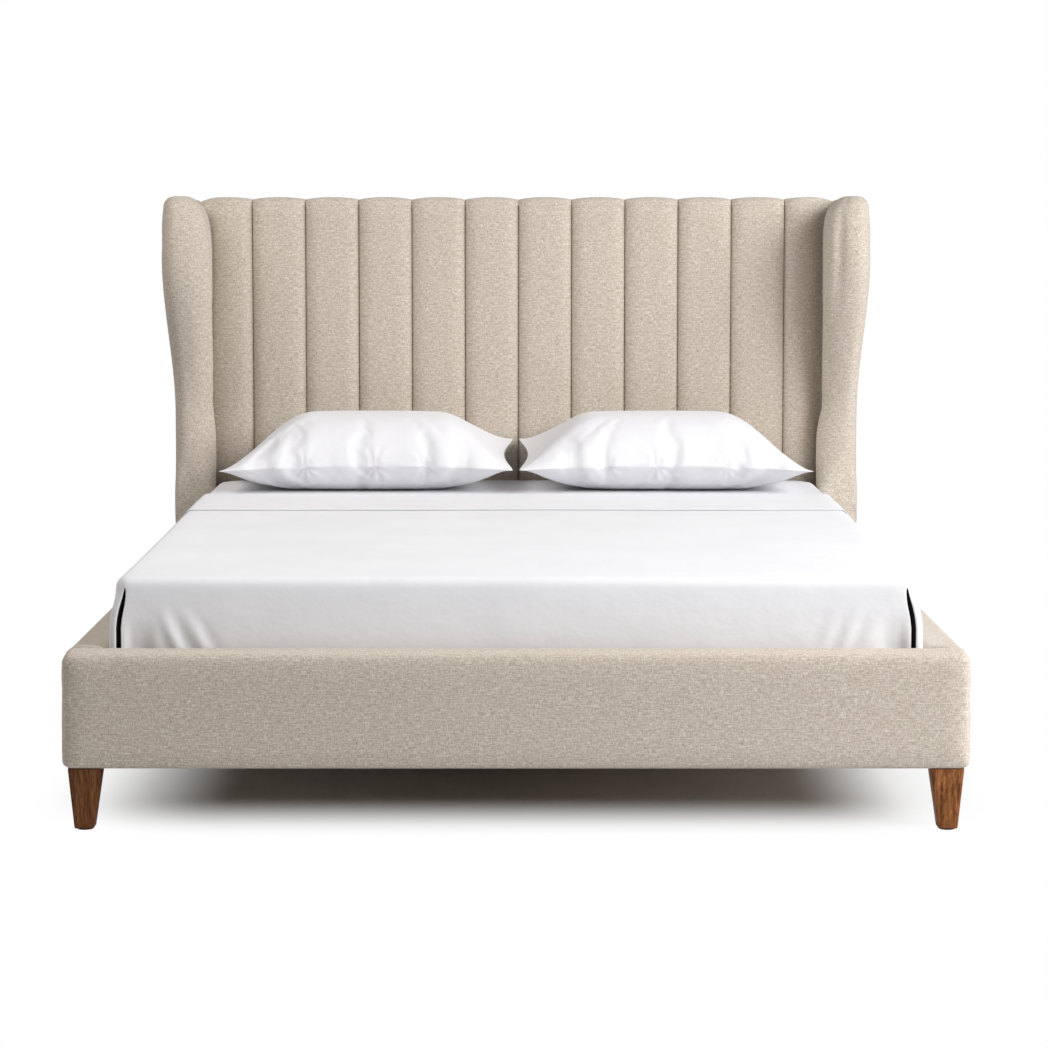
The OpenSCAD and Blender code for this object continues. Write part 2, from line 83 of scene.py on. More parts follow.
soft_lamp("key_lamp", (3.3, -3.0, 2.6), (0, 0.2, 0.5), 2.4, 163, (0.985, 0.99, 1))
soft_lamp("side_lamp", (4.2, -0.6, 2.8), (0, 0, 0.5), 2.4, 100, (0.985, 0.99, 1))
soft_lamp("fill_lamp", (-2.3, -0.6, 3.5), (0, 0, 0.4), 2.4, 60, (1, 0.98, 0.955))
soft_lamp("front_lamp", (1, -8.5, 1), (0, 0, 0.5), 3, 16, (1, 1, 1))


def add(tree, kind, feeds=(), **settings):
    """Adds a node to a tree, sets it up and feeds its inputs with sockets or values."""
    node = tree.nodes.new(kind)
    for key, value in settings.items():
        setattr(node, key, value)
    for key, value in dict(feeds).items():
        if isinstance(value, bpy.types.NodeSocket):
            tree.links.new(value, node.inputs[key])
        else:
            node.inputs[key].default_value = value
    return node


def maths(tree, operation, *values):
    return add(tree, "ShaderNodeMath", enumerate(values), operation=operation).outputs[0]


world = bpy.data.worlds.new("studio")
scene.world = world
world.use_nodes = True
sky = world.node_tree
sky.nodes.clear()
seen = add(sky, "ShaderNodeLightPath")
straight = maths(sky, "MAXIMUM", seen.outputs["Is Camera Ray"], seen.outputs["Is Glossy Ray"])
straight = maths(sky, "MAXIMUM", straight, seen.outputs["Is Transmission Ray"])
around = add(sky, "ShaderNodeBackground", {"Color": (1, 0.965, 0.925, 1), "Strength": 0.15})
white = add(sky, "ShaderNodeBackground", {"Color": (1, 1, 1, 1), "Strength": 1})
either = add(sky, "ShaderNodeMixShader", {0: straight, 1: around.outputs[0], 2: white.outputs[0]})
add(sky, "ShaderNodeOutputWorld", {"Surface": either.outputs[0]})

bpy.ops.mesh.primitive_plane_add(size=120)
floor = bpy.context.object
floor.name = "floor"
pale = bpy.data.materials.new("pale_floor")
pale.use_nodes = True
tree = pale.node_tree
tree.nodes.clear()
seen = add(tree, "ShaderNodeLightPath")
place = add(tree, "ShaderNodeTexCoord").outputs["Object"]
apart = add(tree, "ShaderNodeSeparateXYZ", {0: place})
out_x = maths(tree, "SUBTRACT", maths(tree, "ABSOLUTE", apart.outputs[0]), 0.56)
out_y = maths(tree, "SUBTRACT", maths(tree, "ABSOLUTE", apart.outputs[1]), 0.778)
squares = [maths(tree, "POWER", maths(tree, "MAXIMUM", out, 0), 2) for out in (out_x, out_y)]
away = maths(tree, "SQRT", maths(tree, "ADD", *squares))
backdrop = add(
    tree,
    "ShaderNodeMapRange",
    {"Value": away, "From Min": 0, "From Max": 0.42},
    interpolation_type="SMOOTHSTEP",
).outputs[0]
seen_white = maths(tree, "MULTIPLY", backdrop, seen.outputs["Is Camera Ray"])
painted = add(
    tree,
    "ShaderNodeBsdfPrincipled",
    {"Base Color": (0.7, 0.7, 0.71, 1), "Roughness": 0.8, "Specular IOR Level": 0.2},
)
glow = add(tree, "ShaderNodeEmission", {"Color": (1, 1, 1, 1), "Strength": 1})
both = add(tree, "ShaderNodeMixShader", {0: seen_white, 1: painted.outputs[0], 2: glow.outputs[0]})
add(tree, "ShaderNodeOutputMaterial", {"Surface": both.outputs[0]})
floor.data.materials.append(pale)

# ---- footboard ----
# A timber board wrapped in 13 mm foam and covered in a slubby linen-look
# cloth. The cover is sewn as a box with rounded edges, pulled tight and
# stapled underneath, so its faces crown a little between the edges.


def group(name, **sizes):
    """Starts a shader node group that takes a Vector and sizes and gives a Tone and a Height."""
    made = bpy.data.node_groups.new(name, "ShaderNodeTree")
    socket = made.interface.new_socket
    socket(name="Vector", in_out="INPUT", socket_type="NodeSocketVector")
    for label, size in sizes.items():
        socket(name=label, in_out="INPUT", socket_type="NodeSocketFloat").default_value = size
    for label in ("Tone", "Height"):
        socket(name=label, in_out="OUTPUT", socket_type="NodeSocketFloat")
    return made, made.nodes.new("NodeGroupInput").outputs, made.nodes.new("NodeGroupOutput").inputs


def own_place(tree):
    return add(tree, "ShaderNodeTexCoord").outputs["Object"]


def vector(tree, operation, feeds):
    return add(tree, "ShaderNodeVectorMath", feeds, operation=operation).outputs[0]


def between(tree, value, low, high):
    """Stretches the part of a value between low and high to 0 and 1."""
    feeds = {"Value": value, "From Min": low, "From Max": high}
    return add(tree, "ShaderNodeMapRange", feeds).outputs[0]


def weighed(tree, *parts):
    """The sum of (value, weight) parts, each value times its weight."""
    terms = [maths(tree, "MULTIPLY", value, weight) for value, weight in parts]
    total = terms[0]
    for term in terms[1:]:
        total = maths(tree, "ADD", total, term)
    return total


def streaks(tree, at, stretch, shift, detail, low, high):
    """Noise drawn out along one way of the cloth or the wood, from low to high as 0 to 1."""
    moved = vector(tree, "MULTIPLY_ADD", {0: at, 1: stretch, 2: shift})
    feeds = {"Vector": moved, "Scale": 1, "Detail": detail, "Roughness": 0.6}
    return between(tree, add(tree, "ShaderNodeTexNoise", feeds).outputs[0], low, high)


weave, takes, gives = group("plain_weave", Thread=0.003, Slub=0.5)
pitch = maths(weave, "DIVIDE", 1, takes["Thread"])
at = vector(weave, "SCALE", {0: takes["Vector"], "Scale": pitch})
warp = streaks(weave, at, (1, 0.3, 1), (3, 1, 0), 2, 0.37, 0.63)
weft = streaks(weave, at, (0.2, 1, 1), (17, 5, 4), 2, 0.37, 0.63)
fibre = streaks(weave, at, (1.9, 1.9, 1), (40, 8, 2), 2, 0.3, 0.7)
thick = streaks(weave, at, (0.06, 0.7, 1), (60, 21, 7), 1, 0.52, 0.74)
thick_up = streaks(weave, at, (0.7, 0.1, 1), (90, 33, 9), 1, 0.54, 0.76)
slubs = maths(weave, "MULTIPLY", maths(weave, "MAXIMUM", thick, thick_up), takes["Slub"])
threads = weighed(weave, (warp, 0.5), (weft, 0.5))
tone = weighed(weave, (threads, 0.68), (fibre, 0.32))
weave.links.new(weighed(weave, (tone, 0.85), (slubs, 0.3)), gives["Tone"])
across = add(weave, "ShaderNodeSeparateXYZ", {0: at}).outputs
waves = [maths(weave, "SINE", maths(weave, "MULTIPLY", across[way], math.pi)) for way in (0, 1)]
knuckles = maths(weave, "MULTIPLY", *waves)
weave.links.new(weighed(weave, (knuckles, 0.22), (threads, 1)), gives["Height"])


def woven(tree, thread, slub):
    """The weave on a piece's cloth map: its sockets Tone and Height."""
    cloth_map = add(tree, "ShaderNodeUVMap", uv_map="cloth").outputs[0]
    feeds = {"Vector": cloth_map, "Thread": thread, "Slub": slub}
    return add(tree, "ShaderNodeGroup", feeds, node_tree=weave).outputs


def finish(name, rough, sheen=0, shine=0.5):
    """A new material with its shader, and the tree to build the rest in."""
    made = bpy.data.materials.new(name)
    made.use_nodes = True
    shader = made.node_tree.nodes["Principled BSDF"]
    shader.inputs["Roughness"].default_value = rough
    shader.inputs["Sheen Weight"].default_value = sheen
    shader.inputs["Specular IOR Level"].default_value = shine
    return made, made.node_tree, shader


def blend_of(tree, value, *stops):
    """A colour ramp through (place, colour) stops."""
    ramp = add(tree, "ShaderNodeValToRGB", {0: value})
    for number, (at, colour) in enumerate(stops):
        stop = ramp.color_ramp.elements[number] if number < 2 else ramp.color_ramp.elements.new(at)
        stop.position = at
        stop.color = (*colour, 1)
    return ramp.outputs[0]


def tint(tree, shader, value, *stops):
    """Colours a surface by a value, through (place, colour) stops."""
    tree.links.new(blend_of(tree, value, *stops), shader.inputs["Base Color"])


def relief(tree, shader, height, strength, distance, **under):
    """Raises a surface by a height, on top of an earlier relief where one is given."""
    feeds = {"Height": height, "Strength": strength, "Distance": distance, **under}
    raised = add(tree, "ShaderNodeBump", feeds).outputs[0]
    tree.links.new(raised, shader.inputs["Normal"])
    return raised


linen, tree, shader = finish("upholstery_linen", 0.9, 0.12, 0.25)
shader.inputs["Sheen Roughness"].default_value = 0.6
cloth = woven(tree, 0.0024, 0.6)
tint(
    tree,
    shader,
    cloth["Tone"],
    (0.1, (0.38, 0.31, 0.24)),
    (0.95, (0.835, 0.787, 0.71)),
    (0.35, (0.53, 0.457, 0.377)),
    (0.6, (0.65, 0.584, 0.502)),
)
relief(tree, shader, cloth["Height"], 0.35, 0.0006)


def block(name, low, high):
    """A box between two corners, with its place kept in its mesh, open in edit mode."""
    low, high = Vector(low), Vector(high)
    bpy.ops.object.select_all(action="DESELECT")
    bpy.ops.mesh.primitive_cube_add(size=1, location=(low + high) / 2, scale=high - low)
    bpy.ops.object.transform_apply(location=True, rotation=True, scale=True)
    made = bpy.context.object
    made.name = made.data.name = name
    bpy.ops.object.mode_set(mode="EDIT")
    return made


def pick(kind, test):
    """Selects the edges or faces that pass a test on their corners' places."""
    obj = bpy.context.edit_object
    bpy.ops.mesh.select_mode(type=kind)
    bpy.ops.mesh.select_all(action="DESELECT")
    mesh = bmesh.from_edit_mesh(obj.data)
    for part in mesh.edges if kind == "EDGE" else mesh.faces:
        if test([corner.co for corner in part.verts]):
            part.select_set(True)
    mesh.select_flush_mode()
    bmesh.update_edit_mesh(obj.data)


def runs_along(axis, corners):
    """Whether an edge runs straight along X, Y or Z (0, 1 or 2)."""
    step = corners[1] - corners[0]
    return abs(step[axis]) > 0.999 * step.length


def places(obj):
    """The corners of a piece, each of which moves when its place is set."""
    return [corner.co for corner in obj.data.vertices]


def above(axis, limit):
    """A test that all corners lie past a limit along X, Y or Z."""
    return lambda corners: all(at[axis] > limit for at in corners)


def below(axis, limit):
    """A test that all corners lie short of a limit along X, Y or Z."""
    return lambda corners: all(at[axis] < limit for at in corners)


def bevel(offset, segments):
    """Rounds the selected edges."""
    bpy.ops.mesh.bevel(offset=offset, segments=segments, profile=0.5, affect="EDGES")


def cut_at(axis, place, where=None):
    """Cuts a mesh, or its faces that pass a test, at one place along X, Y or Z."""
    bpy.ops.mesh.select_mode(type="FACE")
    if where:
        pick("FACE", where)
    else:
        bpy.ops.mesh.select_all(action="SELECT")
    at, normal = Vector(), Vector()
    at[axis], normal[axis] = place, 1
    bpy.ops.mesh.bisect(plane_co=at, plane_no=normal)


def slice_up(axis, low, high, count, where=None):
    """Cuts a mesh, or its faces that pass a test, into slices along X, Y or Z."""
    for number in range(1, count):
        cut_at(axis, low + (high - low) * number / count, where)


def only(obj):
    """Selects one object and makes it the active one."""
    bpy.ops.object.select_all(action="DESELECT")
    bpy.context.view_layer.objects.active = obj
    obj.select_set(True)


def middle_of(part):
    """The middle of a corner, an edge or a face, as plain numbers."""
    ends = getattr(part, "verts", [part])
    return tuple(sum((end.co for end in ends), Vector()) / len(ends))


def close_up(obj, material, smooth=True):
    """Leaves edit mode with normals outward, parts in order of place, and a material."""
    bpy.ops.mesh.select_all(action="SELECT")
    bpy.ops.mesh.normals_make_consistent(inside=False)
    mesh = bmesh.from_edit_mesh(obj.data)
    for row in (mesh.verts, mesh.edges, mesh.faces):
        order = {part: number for number, part in enumerate(sorted(row, key=middle_of))}
        row.sort(key=order.get)
        row.index_update()
    bmesh.update_edit_mesh(obj.data)
    bpy.ops.object.mode_set(mode="OBJECT")
    if smooth:
        bpy.ops.object.shade_smooth()
    obj.data.materials.append(material)
    return obj


def lay_cloth(obj, shift=(0, 0)):
    """Maps the weave onto a piece in metres, each face from the side it looks to."""
    mesh = obj.data
    layer = mesh.uv_layers.get("cloth") or mesh.uv_layers.new(name="cloth")
    for face in mesh.polygons:
        flat = max(range(3), key=lambda axis: abs(face.normal[axis]))
        u, v = ((1, 2), (0, 2), (0, 1))[flat]
        for corner in face.loop_indices:
            at = mesh.vertices[mesh.loops[corner].vertex_index].co
            layer.data[corner].uv = (at[u] + shift[0] + 3 * flat, at[v] + shift[1])
    for other in [layer for layer in mesh.uv_layers if layer.name != "cloth"]:
        mesh.uv_layers.remove(other)


def inflate(obj, **cloth):
    """Swells the active object from inside for twenty frames of Blender's cloth."""
    swell = obj.modifiers.new("swell", "CLOTH")
    for key, value in cloth.items():
        setattr(swell.settings, key, value)
    swell.settings.tension_stiffness = swell.settings.compression_stiffness = 15
    swell.settings.use_pressure = True
    swell.settings.effector_weights.gravity = 0
    swell.collision_settings.use_collision = False
    swell.point_cache.frame_start, swell.point_cache.frame_end = 1, 20
    for number in range(1, 21):
        scene.frame_set(number)
    bpy.ops.object.modifier_apply(modifier=swell.name)
    scene.frame_set(1)


def puff(obj, pressure, most, held):
    """Lets Blender's cloth swell a cover that is sewn down where held() says so.

    No point ends up further than most from where it was.
    """
    only(obj)
    before = [at.copy() for at in places(obj)]
    pins = obj.vertex_groups.new(name="sewn_down")
    pins.add([n for n, at in enumerate(before) if held(at)], 1, "REPLACE")
    inflate(
        obj,
        quality=5,
        mass=0.3,
        bending_stiffness=0.5,
        uniform_pressure_force=pressure,
        vertex_group_mass=pins.name,
    )
    for was, at in zip(before, places(obj)):
        moved = at - was
        if moved.length > most:
            at[:] = was + moved * (most / moved.length)
    obj.vertex_groups.clear()


def clamp(value):
    return min(max(value, 0), 1)


def crown(share):
    """1 in the middle of a face and 0 at its edges, for a share from 0 to 1 across it."""
    return 1 - abs(2 * share - 1) ** 4


low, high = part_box("footboard_cover")
edge = 0.02
footboard = block("footboard_upholstery", low, high)
bpy.ops.mesh.select_mode(type="EDGE")
bpy.ops.mesh.select_all(action="SELECT")
bevel(edge, 6)
slice_up(0, low.x + edge, high.x - edge, 84)
slice_up(2, low.z + edge, high.z - edge, 9)
slice_up(1, low.y + edge, high.y - edge, 3)
close_up(footboard, linen)
for at in places(footboard):
    if at.z < low.z + edge:
        at.z = low.z + (at.z - low.z) * 0.75
    run = crown((at.x - low.x) / (high.x - low.x)) * crown((at.z - low.z) / (high.z - low.z))
    ripple = noise.noise(Vector((at.x * 2.3, at.z * 5, 4))) * 0.0012
    if at.y < low.y + 0.002:
        at.y += (0.0016 - 0.0016 * run) + ripple * run
puff(footboard, 3, 0.003, lambda at: at.y > high.y - 0.03 or at.z < low.z + 0.012)
lay_cloth(footboard)
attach(footboard, "bed_frame")
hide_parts("footboard_cover", "footboard_padding")

# ---- side rails ----
# Each rail is a board with the same foam and cloth, butted square against the
# footboard at one end and the wing at the other.
rail_rows = 92
for side in ("left", "right"):
    low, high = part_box(f"{side}_rail_cover")
    rail = block(f"{side}_rail_upholstery", low, high)
    pick("EDGE", lambda corners: runs_along(1, corners))
    bevel(edge, 6)
    slice_up(1, low.y, high.y, rail_rows)
    slice_up(2, low.z + edge, high.z - edge, 9)
    slice_up(0, low.x + edge, high.x - edge, 3)
    close_up(rail, linen)
    for at in places(rail):
        if at.z < low.z + edge:
            at.z = low.z + (at.z - low.z) * 0.75
        run = crown((at.z - low.z) / (high.z - low.z))
        ripple = noise.noise(Vector((at.y * 2.1, at.z * 5, 9))) * 0.0012 * run
        if low.y + 0.01 < at.y < high.y - 0.01:
            at.x += ripple
    sewn = lambda at: at.y < low.y + 0.02 or at.y > high.y - 0.02 or at.z < low.z + 0.01
    puff(rail, 3, 0.002, sewn)
    lay_cloth(rail, shift=(0, 0.4))
    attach(rail, "bed_frame")
    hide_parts(f"{side}_rail_cover", f"{side}_rail_padding")

# ---- corner legs ----
# Solid walnut, sawn square, tapered on all four sides and splayed a little,
# with the arrises eased, then oiled; the right pair gets a paler copy of the
# walnut colour, painted light for the lamps on the right.
# Each is bolted up through the frame.
grain, takes, gives = group("wood_grain", Width=0.03, Length=0.5)
wide = maths(grain, "DIVIDE", 1, takes["Width"])
long = maths(grain, "DIVIDE", 1, takes["Length"])
run = add(grain, "ShaderNodeCombineXYZ", {0: wide, 1: wide, 2: long}).outputs[0]
at = vector(grain, "MULTIPLY", {0: takes["Vector"], 1: run})
sway = add(grain, "ShaderNodeTexNoise", {"Vector": at, "Scale": 0.6, "Detail": 1}).outputs[1]
bent = vector(grain, "MULTIPLY_ADD", {0: sway, 1: (1.4, 1.4, 0.2), 2: at})
figure = streaks(grain, bent, (1, 1, 1), (0, 0, 0), 4, 0.3, 0.7)
pores = streaks(grain, bent, (9, 9, 2.2), (5, 2, 1), 2, 0.42, 0.62)
lines = streaks(grain, bent, (3.4, 3.4, 0.6), (2, 9, 4), 3, 0.34, 0.66)
grain.links.new(weighed(grain, (figure, 0.45), (lines, 0.35), (pores, 0.2)), gives["Tone"])
grain.links.new(weighed(grain, (pores, 0.6), (lines, 0.4)), gives["Height"])


def wear(tree, shader, value, low, high):
    """Makes a surface rougher with a value, from low to high."""
    feeds = {"Value": value, "To Min": low, "To Max": high}
    worn = add(tree, "ShaderNodeMapRange", feeds).outputs[0]
    tree.links.new(worn, shader.inputs["Roughness"])


def wood(name, rough, width, length, turn, tones, bump, shine=0.5):
    """A wood finish with its grain turned along Z, Y or X."""
    made, tree, shader = finish(name, rough, shine=shine)
    turned = add(tree, "ShaderNodeMapping", {"Vector": own_place(tree), "Rotation": turn})
    feeds = {"Vector": turned.outputs[0], "Width": width, "Length": length}
    figured = add(tree, "ShaderNodeGroup", feeds, node_tree=grain).outputs
    stops = [(0.2 + 0.6 * n / (len(tones) - 1), tone) for n, tone in enumerate(tones)]
    tint(tree, shader, figured["Tone"], stops[0], stops[-1], *stops[1:-1])
    wear(tree, shader, figured["Height"], rough - 0.08, rough + 0.12)
    relief(tree, shader, figured["Height"], bump, 0.0004)
    return made


upright, lengthwise, sideways = (0, 0, 0), (math.pi / 2, 0, 0), (0, math.pi / 2, 0)
heart = [(0.045, 0.014, 0.004), (0.105, 0.036, 0.01), (0.165, 0.062, 0.019), (0.25, 0.105, 0.037)]
# Painted light: the right legs use the same walnut made 1.9 times paler, so they read as lit from
# the right.
heart_painted_lit = [tuple(value * 1.9 for value in tone) for tone in heart]
walnuts = {
    "left": wood("oiled_walnut", 0.42, 0.011, 0.16, upright, heart, 0.3, 0.18),
    "right": wood("oiled_walnut_painted_lit", 0.42, 0.011, 0.16, upright, heart_painted_lit, 0.3, 0.18),
}
leg_foot, splay = 0.037, 0.003
for end, lean_y in (("front", -splay), ("rear", splay)):
    for side, lean_x in (("left", -splay), ("right", splay)):
        name = f"{end}_{side}_leg"
        low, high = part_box(name)
        leg = block(f"{name}_walnut", low, high)
        taper = leg_foot / (high.x - low.x)
        foot_at = ((low.x + high.x) / 2, (low.y + high.y) / 2, low.z)
        pick("FACE", below(2, low.z + 0.001))
        bpy.ops.transform.resize(value=(taper, taper, 1), center_override=foot_at)
        bpy.ops.transform.translate(value=(lean_x, lean_y, 0))
        slice_up(2, low.z, high.z, 8)
        pick("EDGE", lambda corners: abs((corners[1] - corners[0]).normalized().z) > 0.9)
        bevel(0.0028, 3)
        pick("EDGE", below(2, low.z + 0.0005))
        bevel(0.0022, 2)
        close_up(leg, walnuts[side], smooth=False)
        bpy.ops.object.shade_smooth_by_angle(angle=math.radians(35))
        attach(leg, "bed_frame")
        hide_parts(name)

# ---- timber frame ----
# Everything that the cloth and the mattress hide: pine boards and blocks, a
# plywood panel, birch slats, and a beam on two legs under the middle.
pine_tones = [(0.40, 0.24, 0.12), (0.60, 0.42, 0.24), (0.72, 0.54, 0.34)]
ply_tones = [(0.52, 0.36, 0.21), (0.66, 0.49, 0.31), (0.74, 0.58, 0.40)]
birch_tones = [(0.60, 0.44, 0.28), (0.72, 0.56, 0.38), (0.80, 0.66, 0.48)]
pine_upright = wood("pine_upright", 0.62, 0.05, 0.9, upright, pine_tones, 0.4)
pine_lengthwise = wood("pine_lengthwise", 0.62, 0.05, 0.9, lengthwise, pine_tones, 0.4)
pine_sideways = wood("pine_sideways", 0.62, 0.05, 0.9, sideways, pine_tones, 0.4)
plywood = wood("plywood", 0.6, 0.12, 1.4, upright, ply_tones, 0.25)
birch = wood("birch_slats", 0.5, 0.035, 0.8, sideways, birch_tones, 0.3)


def dress(material, *names):
    """Gives CAD nodes their finish in place of the plain one."""
    for name in names:
        nodes[name].data.materials.clear()
        nodes[name].data.materials.append(material)


dress(pine_sideways, "footboard_board", "headboard_base_rail")
dress(pine_lengthwise, "left_rail_board", "right_rail_board", "left_slat_ledge")
dress(pine_lengthwise, "right_slat_ledge", "centre_beam")
dress(pine_upright, "front_support_leg", "rear_support_leg", "headboard_frame")
dress(pine_upright, "left_wing_frame", "right_wing_frame")
dress(plywood, "headboard_panel")
dress(birch, *[name for name in nodes if name.startswith("slat_") and name[5:].isdigit()])

# ---- hardware ----
# Zinc-plated pressed steel brackets and stirrups with screws and bolts to
# match, and moulded black nylon under each leg.
zinc, tree, shader = finish("zinc_plate", 0.38)
shader.inputs["Metallic"].default_value = 1
place = own_place(tree)
cloud = streaks(tree, place, (55, 55, 55), (0, 0, 0), 4, 0.32, 0.68)
scuff = streaks(tree, place, (900, 120, 900), (7, 1, 3), 2, 0.4, 0.7)
tint(tree, shader, cloud, (0, (0.44, 0.44, 0.46)), (1, (0.68, 0.68, 0.66)))
wear(tree, shader, scuff, 0.3, 0.5)
dress(zinc, "leg_bolts", "corner_brackets", "beam_hangers", "frame_screws", "slat_screws")

nylon, tree, shader = finish("black_nylon", 0.55)
place = own_place(tree)
pitted = streaks(tree, place, (700, 700, 700), (0, 0, 0), 3, 0.3, 0.7)
rubbed = streaks(tree, place, (60, 60, 60), (3, 1, 2), 3, 0.35, 0.7)
tint(tree, shader, rubbed, (0, (0.018, 0.018, 0.019)), (1, (0.045, 0.045, 0.046)))
relief(tree, shader, pitted, 0.25, 0.0002)
dress(nylon, "leg_glides", "front_leveller", "rear_leveller")

# ---- headboard ----
# Twelve upright channels of foam under one sewn cover. It is stitched down
# to the panel at every seam, so each channel bows out between two seams and
# arches at the top, where the cover folds over the frame to the back.


def ease(z, start, end):
    """Rises smoothly from 0 at start to 1 at end."""
    share = clamp((z - start) / (end - start))
    return share * share * (3 - 2 * share)


low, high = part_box("channel_cover")
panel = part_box("headboard_panel")
channels = 12
pitch_x = (high.x - low.x) / channels
half = pitch_x / 2 - 0.0003
bulge, arch, fold, back_fold, roll_from = 0.023, 0.0065, 0.025, 0.018, 0.5
seat_y = panel[0].y - 0.0004
hung_over = 0.006
cap_z = panel[1].z + 0.0004
channel = block("headboard_channels", (-half, low.y, low.z), (half, seat_y, high.z))
cut_at(2, cap_z)
pick("FACE", lambda corners: all(at.y > seat_y - 0.001 and at.z > cap_z - 0.001 for at in corners))
bpy.ops.mesh.extrude_region_move(TRANSFORM_OT_translate={"value": (0, high.y - seat_y, 0)})
pick("EDGE", lambda corners: all(at.y < low.y + 0.001 and at.z > high.z - 0.001 for at in corners))
bevel(fold, 8)
pick("EDGE", lambda corners: all(at.y > high.y - 0.001 and at.z > high.z - 0.001 for at in corners))
bevel(back_fold, 5)
slice_up(2, low.z, high.z - fold, 44)
slice_up(1, seat_y, high.y - back_fold, 4)
for share in (0.14, 0.3, 0.45, 0.56, 0.64, 0.7, 0.76, 0.81, 0.86, 0.9, 0.935, 0.965, 0.985):
    for place in (-share, share):
        cut_at(0, half * place)
cut_at(0, 0)
close_up(channel, linen)
for at in places(channel):
    side = abs(at.x / half)
    turned = clamp((side - roll_from) / (1 - roll_from))
    sunk = 0.14 * side**2 + 0.86 * (1 - math.sqrt(1 - turned**2 * 0.995))
    if at.y < seat_y + 0.0001:
        at.y += (seat_y - at.y) / (seat_y - low.y) * bulge * sunk
    if at.z > cap_z:
        at.z -= (at.z - cap_z) / (high.z - cap_z) * arch * side**2.4
puff(
    channel,
    2.5,
    0.003,
    lambda at: abs(at.x) > half * 0.97 or at.y > seat_y - 0.004 or at.z < low.z + 0.02,
)
rows = []
for number in range(channels):
    only(channel)
    bpy.ops.object.duplicate(linked=False)
    copy = bpy.context.object
    middle = low.x + (number + 0.5) * pitch_x + hung_over
    for at in places(copy):
        side = at.x / half
        at.x += middle
        loose = 1 - abs(side) ** 6
        if at.y < seat_y - 0.001:
            slack = noise.noise(Vector((at.x * 9, 2, at.z * 5))) * 0.0013
            slack += noise.noise(Vector((at.x * 40, 7, at.z * 14))) * 0.0004
            at.y += slack * loose
            at.x += noise.noise(Vector((middle, 3, at.z * 3.1))) * 0.0007 * loose
    rows.append(copy)
bpy.data.objects.remove(channel)
only(rows[0])
for copy in rows:
    copy.select_set(True)
bpy.ops.object.join()
headboard = bpy.context.object
headboard.name = headboard.data.name = "headboard_channels"
droop_x, droop, roll_x = 0.755, 0.007, 0.72
for at in places(headboard):
    at.x = min(at.x, high.x - 0.0003)
    beside = clamp((abs(at.x) - droop_x) / 0.06) ** 2
    at.z -= droop * beside * ease(at.z, high.z - 0.09, high.z - 0.02)
    if at.y < seat_y - 0.001:
        turned = clamp((abs(at.x) - roll_x) / 0.065) ** 2
        at.y += (seat_y - at.y) * turned * (0.5 if at.x > 0 else 0.28)
lay_cloth(headboard, shift=(0.2, 0.1))
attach(headboard, "bed_frame")
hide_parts("channel_cover", "channel_foam")

# ---- wings ----
# A plywood cheek and a nose block under thick foam, covered in the same
# cloth. Square against the rail at the foot, a wing narrows to a waist above
# the mattress, then flares into a plump roll that rounds off at the top.
rail_low, rail_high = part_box("right_rail_cover")
low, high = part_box("right_wing_cover")
roll, top_round, nose = 0.044, 0.026, 0.052
base_top, waist_low, waist = rail_high.z, 0.56, 0.66
shoulder, seat_top, cheek_x = high.z - 0.15, base_top + 0.056, 0.866
swept, flat_nose, back_round, rebate_y = 0.115, 0.004, 0.008, 1.0145


def wing_section(z):
    """Outer face, inner face, front, nose depth and its squareness at a height."""
    up, fall = ease(z, waist, shoulder), max(0, (z - shoulder) / (high.z - shoulder)) ** 2
    settle = ease(z, base_top, seat_top)
    outer = cheek_x + (high.x - cheek_x) * up
    inner = rail_low.x - 0.014 * settle - 0.008 * up + 0.034 * fall
    plump = ease(z, base_top, waist_low)
    front = rail_high.y + 0.03 * ease(z, seat_top, waist_low) - 0.006 * plump
    front += 0.035 * fall - swept * up
    return outer, inner, front, flat_nose + (nose - flat_nose) * plump, 9 - 6.8 * plump


